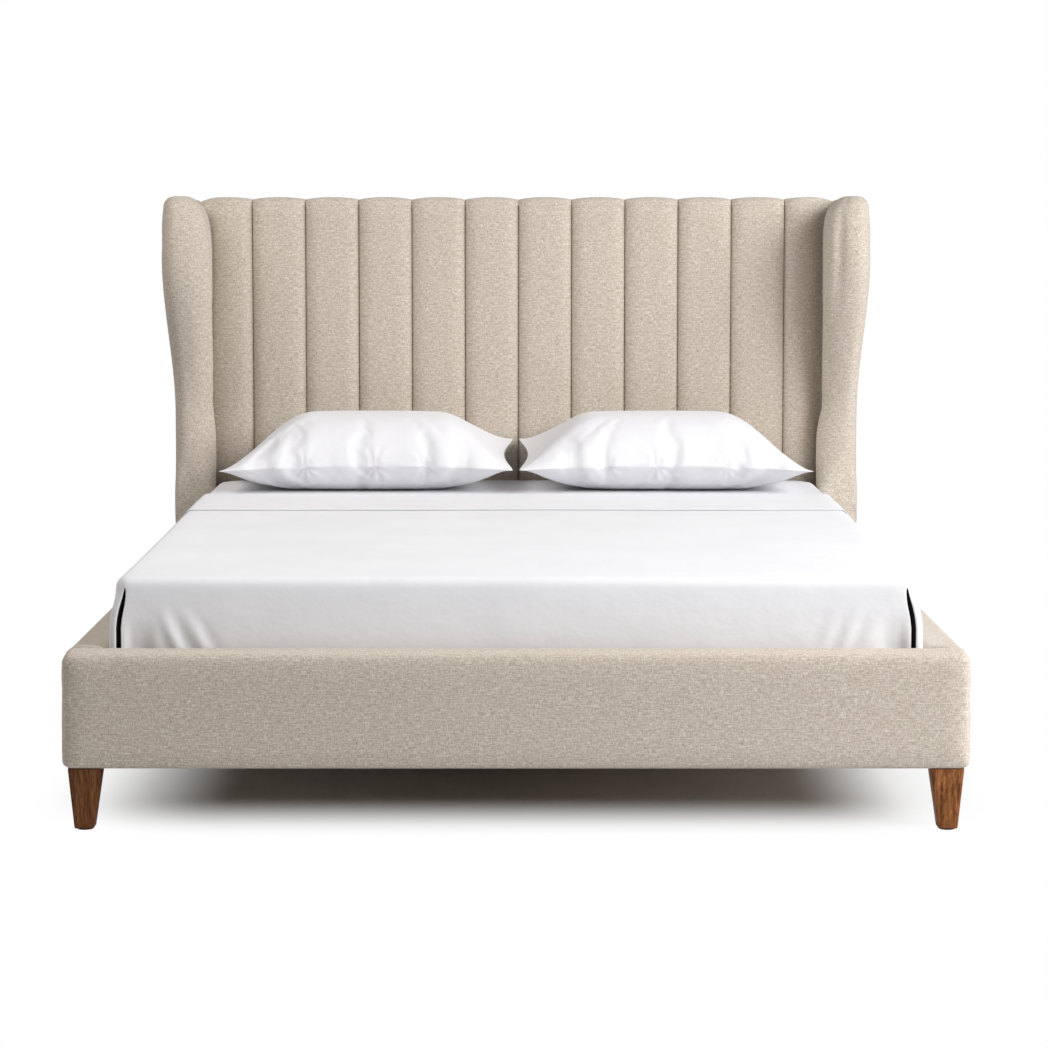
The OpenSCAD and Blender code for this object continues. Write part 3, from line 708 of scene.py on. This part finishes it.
for side, turn, crease, inset in (("left", -1, 0.0, 0.008), ("right", 1, 0.009, 0.016)):
    wing = block(f"{side}_wing_upholstery", low, high)
    pick("EDGE", lambda corners: runs_along(2, corners) and corners[0].y < low.y + 0.001)
    bevel(roll, 10)
    pick("EDGE", lambda corners: runs_along(2, corners) and corners[0].y > high.y - 0.001)
    bevel(back_round, 3)
    slice_up(2, low.z, base_top, 9)
    slice_up(2, base_top, high.z - top_round, 58)
    slice_up(2, high.z - top_round, high.z, 9)
    slice_up(1, low.y + roll, high.y - back_round, 14)
    slice_up(0, low.x + roll, high.x - roll, 7)
    close_up(wing, linen)
    for at in places(wing):
        outer, inner, front, deep, square = wing_section(at.z)
        across = 2 * (at.x - low.x) / (high.x - low.x) - 1
        drop = max(0, at.z - (high.z - top_round))
        shrink = top_round - math.sqrt(max(top_round**2 - drop**2, 0))
        inner += inset * ease(at.z, 0.6, 0.7) * (1 - 0.7 * ease(at.z, shoulder, 1.18))
        reach = (outer - inner) / 2
        x = (inner + outer) / 2 + across * (reach - shrink)
        lean = 0.34 * ease(at.z, base_top, waist_low)
        share = (across - lean) / (1 - lean) if across > lean else (lean - across) / (1 + lean)
        if across < lean:
            square *= 1 - 0.18 * ease(at.z, base_top, waist_low) * (1 - ease(at.z, 1.06, 1.16))
        if at.y > low.y + roll and across < -0.9:
            x += 0.008 * ease(at.y, low.y + roll, low.y + 0.14) * ease(at.z, base_top, waist)
        if at.y < low.y + roll:
            y = front + deep * (1 - (1 - share**square) ** (1 / square))
        else:
            behind = (at.y - low.y - roll) / (high.y - low.y - roll)
            y = front + deep + behind * (high.y - front - deep)
        middle_y = (front + high.y) / 2
        y = middle_y + (y - middle_y) * (middle_y - front - shrink) / (middle_y - front)
        tuck_at = -0.42 - 0.3 * (1 - ease(at.z, 0.84, 1.02))
        groove = math.exp(-(((across - tuck_at) / 0.2) ** 2)) * ease(at.z, 0.76, 0.92)
        groove *= 1 - 0.6 * ease(at.z, high.z - 0.11, high.z - 0.05)
        y += crease * groove * max(0, 1 - (at.y - low.y) / roll)
        domed = 0.008 * clamp((0.843 - x) / 0.045) ** 2 + 0.008 * ease(y, 0.92, 1.12)
        at.x, at.y, at.z = x, y, at.z - domed * ease(at.z, high.z - 0.05, high.z)
    puff(
        wing,
        3,
        0.005,
        lambda at: at.y > high.y - 0.02
        or not base_top + 0.04 < at.z < high.z - 0.03
        or (at.x < panel[1].x and at.y > cad_box[1].y - 0.14),
    )
    for at in places(wing):
        if at.z > base_top and at.y < 1.0:
            slack = noise.noise(Vector((at.x * 7, at.y * 7 + turn, at.z * 5))) * 0.0015
            at.y += slack
            at.x += slack * 0.5
    for front_y, low_z in ((rebate_y, base_top - 0.04), (panel[0].y - 0.0004, low.z - 0.02)):
        rebate = block("rebate", (0.5, front_y, low_z), (panel[1].x + 0.0003, 1.2, 1.3))
        bpy.ops.object.mode_set(mode="OBJECT")
        cut = wing.modifiers.new("rebate", "BOOLEAN")
        cut.object = rebate
        cut.operation = "DIFFERENCE"
        cut.solver = "MANIFOLD"
        only(wing)
        bpy.ops.object.modifier_apply(modifier=cut.name)
        bpy.data.objects.remove(rebate)
    if turn < 0:
        for at in places(wing):
            at.x = -at.x
        wing.data.flip_normals()
    bpy.ops.object.shade_smooth_by_angle(angle=math.radians(50))
    lay_cloth(wing, shift=(0.3 * turn, 0.7))
    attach(wing, "bed_frame")
    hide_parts(f"{side}_wing_cover", f"{side}_wing_padding")

# ---- headboard back ----
# A dust cover of thin needled felt closes the frame from behind. It is cut to
# the frame and stapled round the edge, with a little slack in the middle.
felt, tree, shader = finish("dust_felt", 0.95, shine=0.15)
place = own_place(tree)
fluff = streaks(tree, place, (260, 260, 700), (0, 0, 0), 5, 0.34, 0.66)
patches = streaks(tree, place, (14, 14, 20), (4, 1, 2), 3, 0.3, 0.7)
mottled = weighed(tree, (fluff, 0.75), (patches, 0.25))
felt_tones = (0.1, (0.36, 0.30, 0.245)), (0.9, (0.60, 0.53, 0.45)), (0.5, (0.49, 0.42, 0.35))
tint(tree, shader, mottled, *felt_tones)
relief(tree, shader, fluff, 0.4, 0.0006)

low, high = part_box("headboard_back_cover")
skin, staple_gap = 0.0018, 0.059
back = block("headboard_back_felt", (low.x, high.y - skin, low.z), high)
slice_up(0, low.x, high.x, 84)
slice_up(2, low.z, high.z, 54)
close_up(back, felt)
for at in places(back):
    if at.y < high.y - 0.0005:
        continue
    from_side = min(at.x - low.x, high.x - at.x)
    from_end = min(at.z - low.z, high.z - at.z)
    along = at.z if from_side < from_end else at.x
    inward = min(from_side, from_end)
    held = 1 - min(inward / 0.06, 1)
    slack = noise.noise(Vector((at.x * 3.1, 5, at.z * 2.7))) * 0.0013
    tuck = math.cos(math.tau * along / staple_gap) * 0.0005 * held
    at.y += 0.0008 * (1 - held) + slack * (1 - held) - 0.0004 * held + tuck
bpy.ops.object.shade_smooth_by_angle(angle=math.radians(40))
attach(back, "bed_frame")
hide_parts("headboard_back_cover")

# ---- slat webbing ----
# Two woven polypropylene straps run under the slats from end to end and keep
# their spacing. Their selvedges are a little thicker than the middle.
straps, tree, shader = finish("woven_webbing", 0.7)
place = own_place(tree)
apart = add(tree, "ShaderNodeSeparateXYZ", {0: place}).outputs
ribs = maths(tree, "SINE", maths(tree, "MULTIPLY", apart[0], math.tau / 0.0025))
zigzag = maths(tree, "MULTIPLY", maths(tree, "ABSOLUTE", ribs), 0.0011)
shifted = maths(tree, "ADD", apart[1], zigzag)
picks = maths(tree, "SINE", maths(tree, "MULTIPLY", shifted, math.tau / 0.0016))
twill = between(tree, weighed(tree, (picks, 1), (ribs, 0.5)), -1.5, 1.5)
dusty = streaks(tree, place, (40, 9, 40), (1, 2, 3), 3, 0.3, 0.7)
soiled = weighed(tree, (twill, 0.6), (dusty, 0.4))
tint(tree, shader, soiled, (0.1, (0.50, 0.48, 0.44)), (0.9, (0.80, 0.78, 0.74)))
relief(tree, shader, twill, 0.5, 0.0003)

low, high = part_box("slat_webbing")
strap_w, selvedge = 0.025, 0.003
strap_x = high.x - strap_w / 2
strap = block("webbing_strap", (strap_x - strap_w / 2, low.y, low.z), high)
slice_up(1, low.y, high.y, 110)
for side in (-1, 1):
    cut_at(0, strap_x + side * (strap_w / 2 - selvedge))
pick("EDGE", lambda corners: runs_along(1, corners) and abs(corners[0].x - strap_x) > 0.012)
bevel(0.0004, 2)
close_up(strap, straps)
for at in places(strap):
    if abs(at.x - strap_x) < strap_w / 2 - selvedge + 0.0002 and at.z < low.z + 0.0003:
        at.z += 0.00025
bpy.ops.object.duplicate(linked=False)
twin = bpy.context.object
for at in places(twin):
    at.x -= 2 * strap_x
strap.select_set(True)
bpy.context.view_layer.objects.active = strap
bpy.ops.object.join()
strap.name = strap.data.name = "webbing_straps"
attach(strap, "bed_frame")
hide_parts("slat_webbing")

# ---- mattress ----
# A foam and spring mattress in a knitted ticking, quilted in soft waves and
# taped round the top and bottom edges. It lies loose on the slats.
ticking, tree, shader = finish("quilted_ticking", 0.85, 0.15)
place = own_place(tree)
apart = add(tree, "ShaderNodeSeparateXYZ", {0: place}).outputs
low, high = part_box("mattress")
tape_in = 0.017
from_edge = maths(
    tree,
    "SUBTRACT",
    (high.z - low.z) / 2 - tape_in,
    maths(tree, "ABSOLUTE", maths(tree, "SUBTRACT", apart[2], (high.z + low.z) / 2)),
)
tape = add(
    tree,
    "ShaderNodeMapRange",
    {"Value": maths(tree, "ABSOLUTE", from_edge), "From Min": 0.0085, "From Max": 0.0075},
).outputs[0]
knit = streaks(tree, place, (900, 900, 900), (0, 0, 0), 2, 0.35, 0.65)
drift = streaks(tree, place, (6, 6, 6), (1, 2, 3), 2, 0.3, 0.7)
tone = weighed(tree, (knit, 0.6), (drift, 0.4))
plain = blend_of(tree, tone, (0.1, (0.70, 0.69, 0.66)), (0.9, (0.86, 0.85, 0.82)))
colours = {0: tape, 6: plain, 7: (0.48, 0.47, 0.45, 1)}
taped = add(tree, "ShaderNodeMix", colours, data_type="RGBA")
tree.links.new(taped.outputs[2], shader.inputs["Base Color"])
relief(tree, shader, knit, 0.35, 0.0005)

rise, rise_start, rise_end = 0.0095, -1.0, 0.6


def crowned(y):
    """How far the middle of the mattress stands up towards the head."""
    return rise * ease(y, rise_start, rise_end)


spare, mattress_r, quilt_pitch = 0.0025, 0.082, 0.145
low, high = low + Vector((spare, spare, spare)), high - Vector((spare, spare, spare))
mattress = block("mattress_quilted", low, high)
pick("EDGE", lambda corners: runs_along(2, corners))
bevel(mattress_r, 10)
pick("EDGE", lambda corners: not runs_along(2, corners) and corners[0].z == corners[1].z)
bevel(0.016, 4)
slice_up(0, low.x + mattress_r, high.x - mattress_r, 56)
slice_up(1, low.y + mattress_r, high.y - mattress_r, 76)
slice_up(2, low.z + 0.016, high.z - 0.016, 7)
close_up(mattress, ticking)
for at in places(mattress):
    flat = min(at.x - low.x, high.x - at.x, at.y - low.y, high.y - at.y)
    wave = math.sin(math.tau * at.x / quilt_pitch + 0.8 * math.sin(math.pi * at.y / quilt_pitch))
    quilt = 0.003 * (abs(wave) ** 0.6 - 1) * clamp((flat - 0.02) / 0.04)
    if at.z < low.z + 0.001:
        at.z -= quilt
    elif at.z > high.z - 0.001:
        at.z += quilt
    at.z += crowned(at.y) * clamp((at.z - low.z) / (high.z - low.z))
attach(mattress, "mattress_set")
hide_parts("mattress")

# ---- fitted sheet ----
# White cotton percale, cut as a shallow bag with sewn corners. Elastic in its
# hem gathers it under the mattress all round.


def white_cotton(name, dark, light):
    """Close-woven cotton, a little creased, between two whites."""
    made, tree, shader = finish(name, 0.8, 0.1, 0.25)
    cloth = woven(tree, 0.0007, 0.15)
    place = own_place(tree)
    washed = streaks(tree, place, (5, 5, 7), (3, 8, 1), 2, 0.3, 0.7)
    tone = weighed(tree, (cloth["Tone"], 0.55), (washed, 0.45))
    tint(tree, shader, tone, (0.1, dark), (0.9, light))
    threads = relief(tree, shader, cloth["Height"], 0.12, 0.0002)
    crumple = streaks(tree, place, (13, 13, 17), (2, 5, 9), 3, 0.3, 0.7)
    relief(tree, shader, crumple, 0.25, 0.004, Normal=threads)
    return made


def thicken(obj, thickness):
    """Gives a single layer of cloth its thickness on the inner side."""
    layer = obj.modifiers.new("layer", "SOLIDIFY")
    layer.thickness = thickness
    layer.offset = -1
    only(obj)
    bpy.ops.object.modifier_apply(modifier=layer.name)


percale = white_cotton("cotton_percale", (0.865, 0.867, 0.893), (0.935, 0.937, 0.96))
percale_thickness, hem_pitch = 0.0012, 0.047
low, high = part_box("fitted_sheet")
corner_r, edge_r, tucked = 0.083, 0.02, 0.06
low.z += 0.0004
fitted = block("fitted_sheet_percale", low, high)
pick("FACE", below(2, low.z + 0.001))
bpy.ops.mesh.delete(type="ONLY_FACE")
pick("EDGE", lambda corners: runs_along(2, corners))
bevel(corner_r, 12)
pick("EDGE", above(2, high.z - 0.001))
bevel(edge_r, 5)
slice_up(0, low.x + corner_r, high.x - corner_r, 76)
slice_up(1, low.y + corner_r, high.y - corner_r, 100)
slice_up(2, low.z, high.z - edge_r, 12)
pick("EDGE", below(2, low.z + 0.0005))
bpy.ops.mesh.extrude_region_move()
middle_y = (low.y + high.y) / 2
reach_x, reach_y = high.x, (high.y - low.y) / 2
for share in (0.25, 0.5, 0.75, 1):
    into, before = tucked * share, tucked * (share - 0.25)
    drawn_in = [(reach - into) / (reach - before) for reach in (reach_x, reach_y)]
    bpy.ops.transform.resize(value=(*drawn_in, 1), center_override=(0, middle_y, low.z))
    if share < 1:
        bpy.ops.mesh.extrude_region_move()
close_up(fitted, percale)
for at in places(fitted):
    along = at.x if abs(at.y - middle_y) / reach_y > abs(at.x) / reach_x else at.y
    gather = 0.5 + 0.5 * math.sin(math.tau * along / hem_pitch + 2 * noise.noise((along * 6, 1, 3)))
    low_down = 1 - ease(at.z, low.z + 0.01, low.z + 0.13)
    if at.z > low.z + 0.0005:
        push = 0.0035 * gather * low_down + 0.0006 * noise.noise(at * 9)
        at.x += push * math.copysign(1, at.x) * (abs(at.x) > reach_x - 0.02)
        at.y += push * math.copysign(1, at.y - middle_y) * (abs(at.y - middle_y) > reach_y - 0.02)
    if at.z > high.z - 0.03:
        at.z += 0.0006 * noise.noise((at.x * 3, at.y * 3, 5))
    at.z += crowned(at.y) * clamp((at.z - low.z) / (high.z - low.z))
thicken(fitted, percale_thickness)
lay_cloth(fitted)
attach(fitted, "mattress_set")
drop = high.z - low.z + tucked
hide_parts("fitted_sheet")

# ---- top sheet ----
# The same cotton, hemmed, with a split at each foot corner so that it hangs
# square; the inside of each split is painted near-black, painted shade for the
# dark of the deep gap. It stays outside the frame's padding and is turned down
# at the head into a deep cuff.
outer_x, outer_y = 0.7685, -1.041
layer_z, hem_z, cuff_hem_z = 0.4764, 0.24, 0.30
fold_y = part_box("top_sheet")[1].y
cuff_y = fold_y - 0.375
bend, edge_r = 0.028, 0.02
bend_x, bend_y = outer_x - bend, outer_y + bend
slit_top, slit_spread, slit_turn = 0.458, 0.0042 / bend, math.radians(17)
turned_in, cuff_lift = 0.016, 0.0014


def in_corner(corners, top=slit_top + 0.001):
    """Whether corners lie in a foot corner, below a height or else the top of its split."""
    beside, before = bend_x - 0.001, bend_y + 0.001
    return all(abs(at.x) > beside and at.y < before and at.z < top for at in corners)


drape = block("top_sheet_percale", (-outer_x, outer_y, hem_z), (outer_x, fold_y, layer_z))
at_top, at_fold = above(2, layer_z - 0.001), above(1, fold_y - 0.001)
for open_side in (below(2, hem_z + 0.001), at_fold):
    pick("FACE", open_side)
    bpy.ops.mesh.delete(type="ONLY_FACE")
pick("EDGE", lambda corners: runs_along(2, corners) and corners[0].y < outer_y + 0.001)
bevel(bend, 14)
pick("EDGE", lambda corners: at_top(corners) and not at_fold(corners))
bevel(edge_r, 5)
slice_up(0, -bend_x, bend_x, 76)
slice_up(1, bend_y, fold_y, 78)
slice_up(2, hem_z, layer_z - edge_r, 14)
for side in (-1, 1):
    past = side * 0.5
    on_foot = lambda corners: all(at.y < outer_y + 0.001 and at.x * side > 0.49 for at in corners)
    slice_up(0, past, side * bend_x, 50, on_foot)
for side in (-1, 1):
    for turn in (slit_turn - slit_spread, slit_turn, slit_turn + slit_spread):
        pick("FACE", lambda corners: in_corner(corners) and corners[0].x * side > 0)
        across = Vector((math.cos(turn) * side, math.sin(turn), 0))
        bpy.ops.mesh.bisect(plane_co=(bend_x * side, bend_y, 0), plane_no=across)


def turn_of(at):
    """How far round its foot corner a point lies, in radians from the foot."""
    return math.atan2(abs(at.x) - bend_x, bend_y - at.y)


def in_slit(corners):
    """The strip of a foot corner where the split opens."""
    spread = slit_spread + 0.004
    return in_corner(corners) and all(abs(turn_of(at) - slit_turn) < spread for at in corners)


slice_up(2, 0.39, slit_top, 10, lambda corners: in_corner(corners, 1))
pick("FACE", in_slit)
bpy.ops.mesh.extrude_region_move()
mesh = bmesh.from_edit_mesh(drape.data)
# Faces inside each split take the second slot, the near-black painted shade.
for face in mesh.faces:
    face.material_index = int(in_slit([end.co for end in face.verts]))
for end in mesh.verts:
    if end.select:
        end.co.x -= math.copysign(turned_in * math.sin(slit_turn), end.co.x)
        end.co.y += turned_in * math.cos(slit_turn)
bmesh.update_edit_mesh(drape.data)
cut_at(1, cuff_y)
cut_at(2, cuff_hem_z)
bpy.ops.mesh.select_all(action="SELECT")
bpy.ops.mesh.normals_make_consistent(inside=False)
mesh = bmesh.from_edit_mesh(drape.data)
top_face = max(mesh.faces, key=lambda face: face.calc_center_median().z)
if top_face.normal.z < 0:
    bpy.ops.mesh.flip_normals()
pick("FACE", above(1, cuff_y - 0.0005))
bpy.ops.mesh.duplicate()
bpy.ops.transform.shrink_fatten(value=cuff_lift)
bpy.ops.mesh.flip_normals()
bpy.ops.mesh.bisect(plane_co=(0, 0, cuff_hem_z), plane_no=(0, 0, 1), clear_inner=True)
mesh = bmesh.from_edit_mesh(drape.data)
cuff_mark = mesh.verts.layers.int.new("cuff")
for end in mesh.verts:
    raised = abs(end.co.x) > outer_x + cuff_lift / 2 or end.co.z > layer_z + cuff_lift / 2
    end[cuff_mark] = int(end.select or raised)
bpy.ops.mesh.select_mode(type="EDGE")
bpy.ops.mesh.select_all(action="DESELECT")
mesh = bmesh.from_edit_mesh(drape.data)
for part in mesh.edges:
    ends = [end.co for end in part.verts]
    part.select_set(part.is_boundary and at_fold(ends) and above(2, cuff_hem_z - 0.004)(ends))
mesh.select_flush_mode()
bmesh.update_edit_mesh(drape.data)
bpy.ops.mesh.bridge_edge_loops(number_cuts=2, interpolation="SURFACE", smoothness=0.8)
bpy.ops.mesh.select_all(action="SELECT")
bpy.ops.mesh.delete_loose()
bpy.ops.object.mode_set(mode="OBJECT")
bpy.ops.object.shade_smooth()
drape.data.materials.append(percale)
# Painted shade: a near-black woven finish inside each split stands in for the shadow of the deep
# gap.
slit_painted_shade, tree, shader = finish("split_painted_shade", 0.9, shine=0.1)
tape = woven(tree, 0.0012, 0.2)["Tone"]
tint(tree, shader, tape, (0.1, (0.012, 0.011, 0.011)), (0.9, (0.03, 0.028, 0.027)))
drape.data.materials.append(slit_painted_shade)
corner_folds = {
    -1: ((0.646, 0.53, 0.008), (0.596, 0.64, 0.006)),
    1: ((0.585, 0.5, 0.0025), (0.625, 0.5, 0.0035), (0.665, 0.5, 0.0025)),
}
fold_foot, fold_width = 0.3415, 0.0095
cuff_of = drape.data.attributes["cuff"].data
for number, corner in enumerate(drape.data.vertices):
    at = corner.co
    down = clamp((layer_z - at.z) / (layer_z - hem_z))
    side = math.copysign(1, at.x)
    on_side = clamp((abs(at.x) - bend_x) / bend)
    on_foot = clamp((bend_y - at.y) / bend)
    if on_foot > 0 and at.z < slit_top + 0.002 and abs(at.x) > bend_x:
        arch = math.sqrt(clamp((slit_top - at.z) / 0.035))
        turn = turn_of(at)
        near = max(0, 1 - abs(turn - slit_turn) / 0.45)
        shut = (slit_turn - turn) * bend * (1 - arch) * (1 if near > 0.6 else near)
        at.x += side * shut * math.cos(slit_turn)
        at.y += shut * math.sin(slit_turn)
        squared = (abs(math.cos(turn)) ** 5 + abs(math.sin(turn)) ** 5) ** -0.2 - 1
        squared *= 1 - ease(at.z, 0.41, slit_top)
        at.x += side * (abs(at.x) - bend_x) * squared
        at.y -= (bend_y - at.y) * squared
    hang = 0.5 + 0.5 * math.sin(math.tau * at.y / 0.34 + 1.5 * noise.noise((at.y * 3, side, 2)))
    near_foot = 1 - ease(at.y, -0.95, -0.6)
    at.x += side * on_side * down * (0.0012 + 0.0035 * hang * (1 - on_foot) * (1 - near_foot))
    flared = near_foot * (1 - ease(at.z, 0.375, 0.46)) * ease(abs(at.x), 0.69, 0.74)
    at.x += side * 0.0125 * flared
    if on_foot > 0:
        pocket = ease(abs(at.x), 0.685, 0.72) * (1 - ease(abs(at.x), 0.738, 0.752))
        at.y += 0.009 * pocket * (1 - ease(at.z, 0.335, 0.41))
    if on_foot > 0.99 and at.z < 0.46:
        height = 1 - ease(at.z, 0.352, 0.425)
        behind = 0.5 + 0.5 * ease(at.z, 0.338, 0.356)
        for start, lean, deep in corner_folds[int(side)]:
            off = (abs(at.x) - start - lean * (at.z - fold_foot)) / fold_width
            bump = math.exp(-off * off) - 0.55 * math.exp(-((off + 2.1) ** 2))
            at.y -= deep * height * behind * bump
        at.y -= 0.0012 * noise.noise((at.x * 4, at.z * 7, 8)) * down
    if cuff_of[number].value:
        flare = ease(at.y, fold_y, cuff_y)
        at.x += side * on_side * (0.001 + 0.004 * down + 0.005 * flare)
    if at.z > layer_z - edge_r:
        at.z += 0.0007 * noise.noise((at.x * 2.5, at.y * 2.5, 3))
    at.z += crowned(at.y) * (1 - down)
thicken(drape, percale_thickness)
lay_cloth(drape)
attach(drape, "mattress_set")
drop = layer_z - hem_z
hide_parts("top_sheet")

# ---- pillows ----
# Two feather pillows in closed white cotton cases. Each is sewn flat from two
# rectangles, so filling it draws the sides in and leaves four pointed corners;
# the corners that meet in the middle push each other up.
pillow_low, pillow_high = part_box("right_pillowcase")
centre_x, centre_y, _ = (pillow_low + pillow_high) / 2
half_x, half_y, _ = (pillow_high - pillow_low) / 2
base_z, plump = pillow_low.z + rise, pillow_high.z - pillow_low.z
tips = {(-1, -1): 0.0595, (1, -1): 0.057, (-1, 1): 0.105, (1, 1): 0.038}
columns, lines = 84, 54
case_cloth = white_cotton("pillow_percale", (0.82, 0.815, 0.845), (0.89, 0.885, 0.91))


def pillow_point(u, v, top):
    """A point of the filled pillow for places u, v from -1 to 1 on its flat case."""
    x = u * (half_x - 0.022 * (1 - v * v) ** 1.5 * abs(u) ** 3)
    y = v * (half_y - 0.018 * (1 - u * u) ** 1.5 * abs(v) ** 3)
    ends = [tip * (1 + a * u) * (1 + b * v) / 4 for (a, b), tip in tips.items()]
    seam = sum(ends) + 0.011 * (1 - u * u) * abs(v)
    if not top:
        lifted = 1 - (1 - abs(u) ** 4) * (1 - abs(v) ** 3.7)
        return x, y, base_z + max(seam * lifted, 0.0004)
    part = min((1 - abs(u)) / (0.62 if u > 0 else 0.52), 1)
    full = 0.5 * (1 - (1 - part) ** 2) + 0.5 * part * part * (3 - 2 * part)
    full *= (0.94 + 0.06 * (1 - u * u)) * (1 - abs(v) ** 2.3) ** 0.62
    return x, y, base_z + seam + (plump - seam) * full


def flat_case(name):
    """Two flat layers joined round the edge, from -1 to 1 both ways."""
    bpy.ops.object.select_all(action="DESELECT")
    bpy.ops.mesh.primitive_grid_add(x_subdivisions=columns, y_subdivisions=lines, size=2)
    case = bpy.context.object
    case.name = case.data.name = name
    bpy.ops.object.mode_set(mode="EDIT")
    bpy.ops.mesh.select_all(action="SELECT")
    bpy.ops.mesh.extrude_region_move(TRANSFORM_OT_translate={"value": (0, 0, 1)})
    return close_up(case, case_cloth)


def spot_of(at):
    """The column, line and layer of a point of a flat case."""
    return round((at.x + 1) / 2 * columns), round((at.y + 1) / 2 * lines), at.z > 0.5


def level(filled, spot, way):
    """Where the cloth would lie at a spot if it ran evenly along one way of the grid."""
    reach = min(7, spot[way], (lines if way else columns) - spot[way])
    total = Vector()
    for step in range(-reach, reach + 1):
        near = list(spot)
        near[way] += step
        total += filled[tuple(near)]
    return total / (2 * reach + 1)


def filled_folds():
    """Fills a flat case by simulation and returns the folds that its seams draw up."""
    trial = flat_case("trial_case")
    spots = [spot_of(at) for at in places(trial)]
    for at in places(trial):
        u, v, side = at.x, at.y, 1 if at.z > 0.5 else -1
        loft = 0.002 + 0.03 * (1 - u * u) * (1 - v * v)
        at[:] = (u * (half_x + 0.04), v * (half_y + 0.035), side * loft)
    inflate(
        trial,
        quality=6,
        mass=0.25,
        shear_stiffness=3,
        bending_stiffness=0.05,
        uniform_pressure_force=3.5,
    )
    filled = {spot: at.copy() for spot, at in zip(spots, places(trial))}
    bpy.data.objects.remove(trial)
    folds = {}
    for spot, at in filled.items():
        u, v = 2 * spot[0] / columns - 1, 2 * spot[1] / lines - 1
        fold, across = at - level(filled, spot, 0), at - level(filled, spot, 1)
        long = v * v / (u * u + v * v + 0.05)
        fold = Vector((0, fold.y, fold.z * long + 0.3 * across.z * (1 - long) * (1 - u**8)))
        folds[spot] = fold * min(1, 0.007 / max(fold.length, 0.007))
    return folds


folds = filled_folds()
puckers = ((0.41, 0.04), (-0.06, 0.045), (-0.4, 0.035))
for side, turn in (("left", -1), ("right", 1)):
    pillow = flat_case(f"{side}_pillow_percale")
    for at in places(pillow):
        spot = spot_of(at)
        fold = folds.get(spot, Vector())
        x, y, z = pillow_point(at.x, at.y, spot[2])
        if max(abs(at.x), abs(at.y)) > 0.9999:
            z += 0.0006 if spot[2] else -0.0006
        z = max(z + fold.z, base_z + 0.0003)
        at[:] = (turn * (centre_x + x + fold.x), centre_y + y + fold.y, z)
    if turn < 0:
        pillow.data.flip_normals()
    fine = pillow.modifiers.new("fine", "SUBSURF")
    fine.levels = fine.render_levels = 1
    bpy.ops.object.modifier_apply(modifier="fine")
    for number, (u, size) in enumerate(puckers):
        x, y, z = pillow_point(u, -1, True)
        for at in places(pillow):
            off = Vector((turn * at.x - centre_x - x, at.z - z))
            if off.length > 3 * size or at.y > centre_y - 0.02:
                continue
            rays = math.cos(9 * math.atan2(abs(off.y), off.x) + 1.7 * number)
            fades = math.exp(-((off.length / size) ** 2)) * min(off.length / 0.01, 1)
            at.y += 0.0022 * rays * fades + 0.003 * math.exp(-((off.length / 0.014) ** 2))
    lay_cloth(pillow)
    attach(pillow, f"{side}_pillow_set")
    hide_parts(f"{side}_pillow", f"{side}_pillowcase")
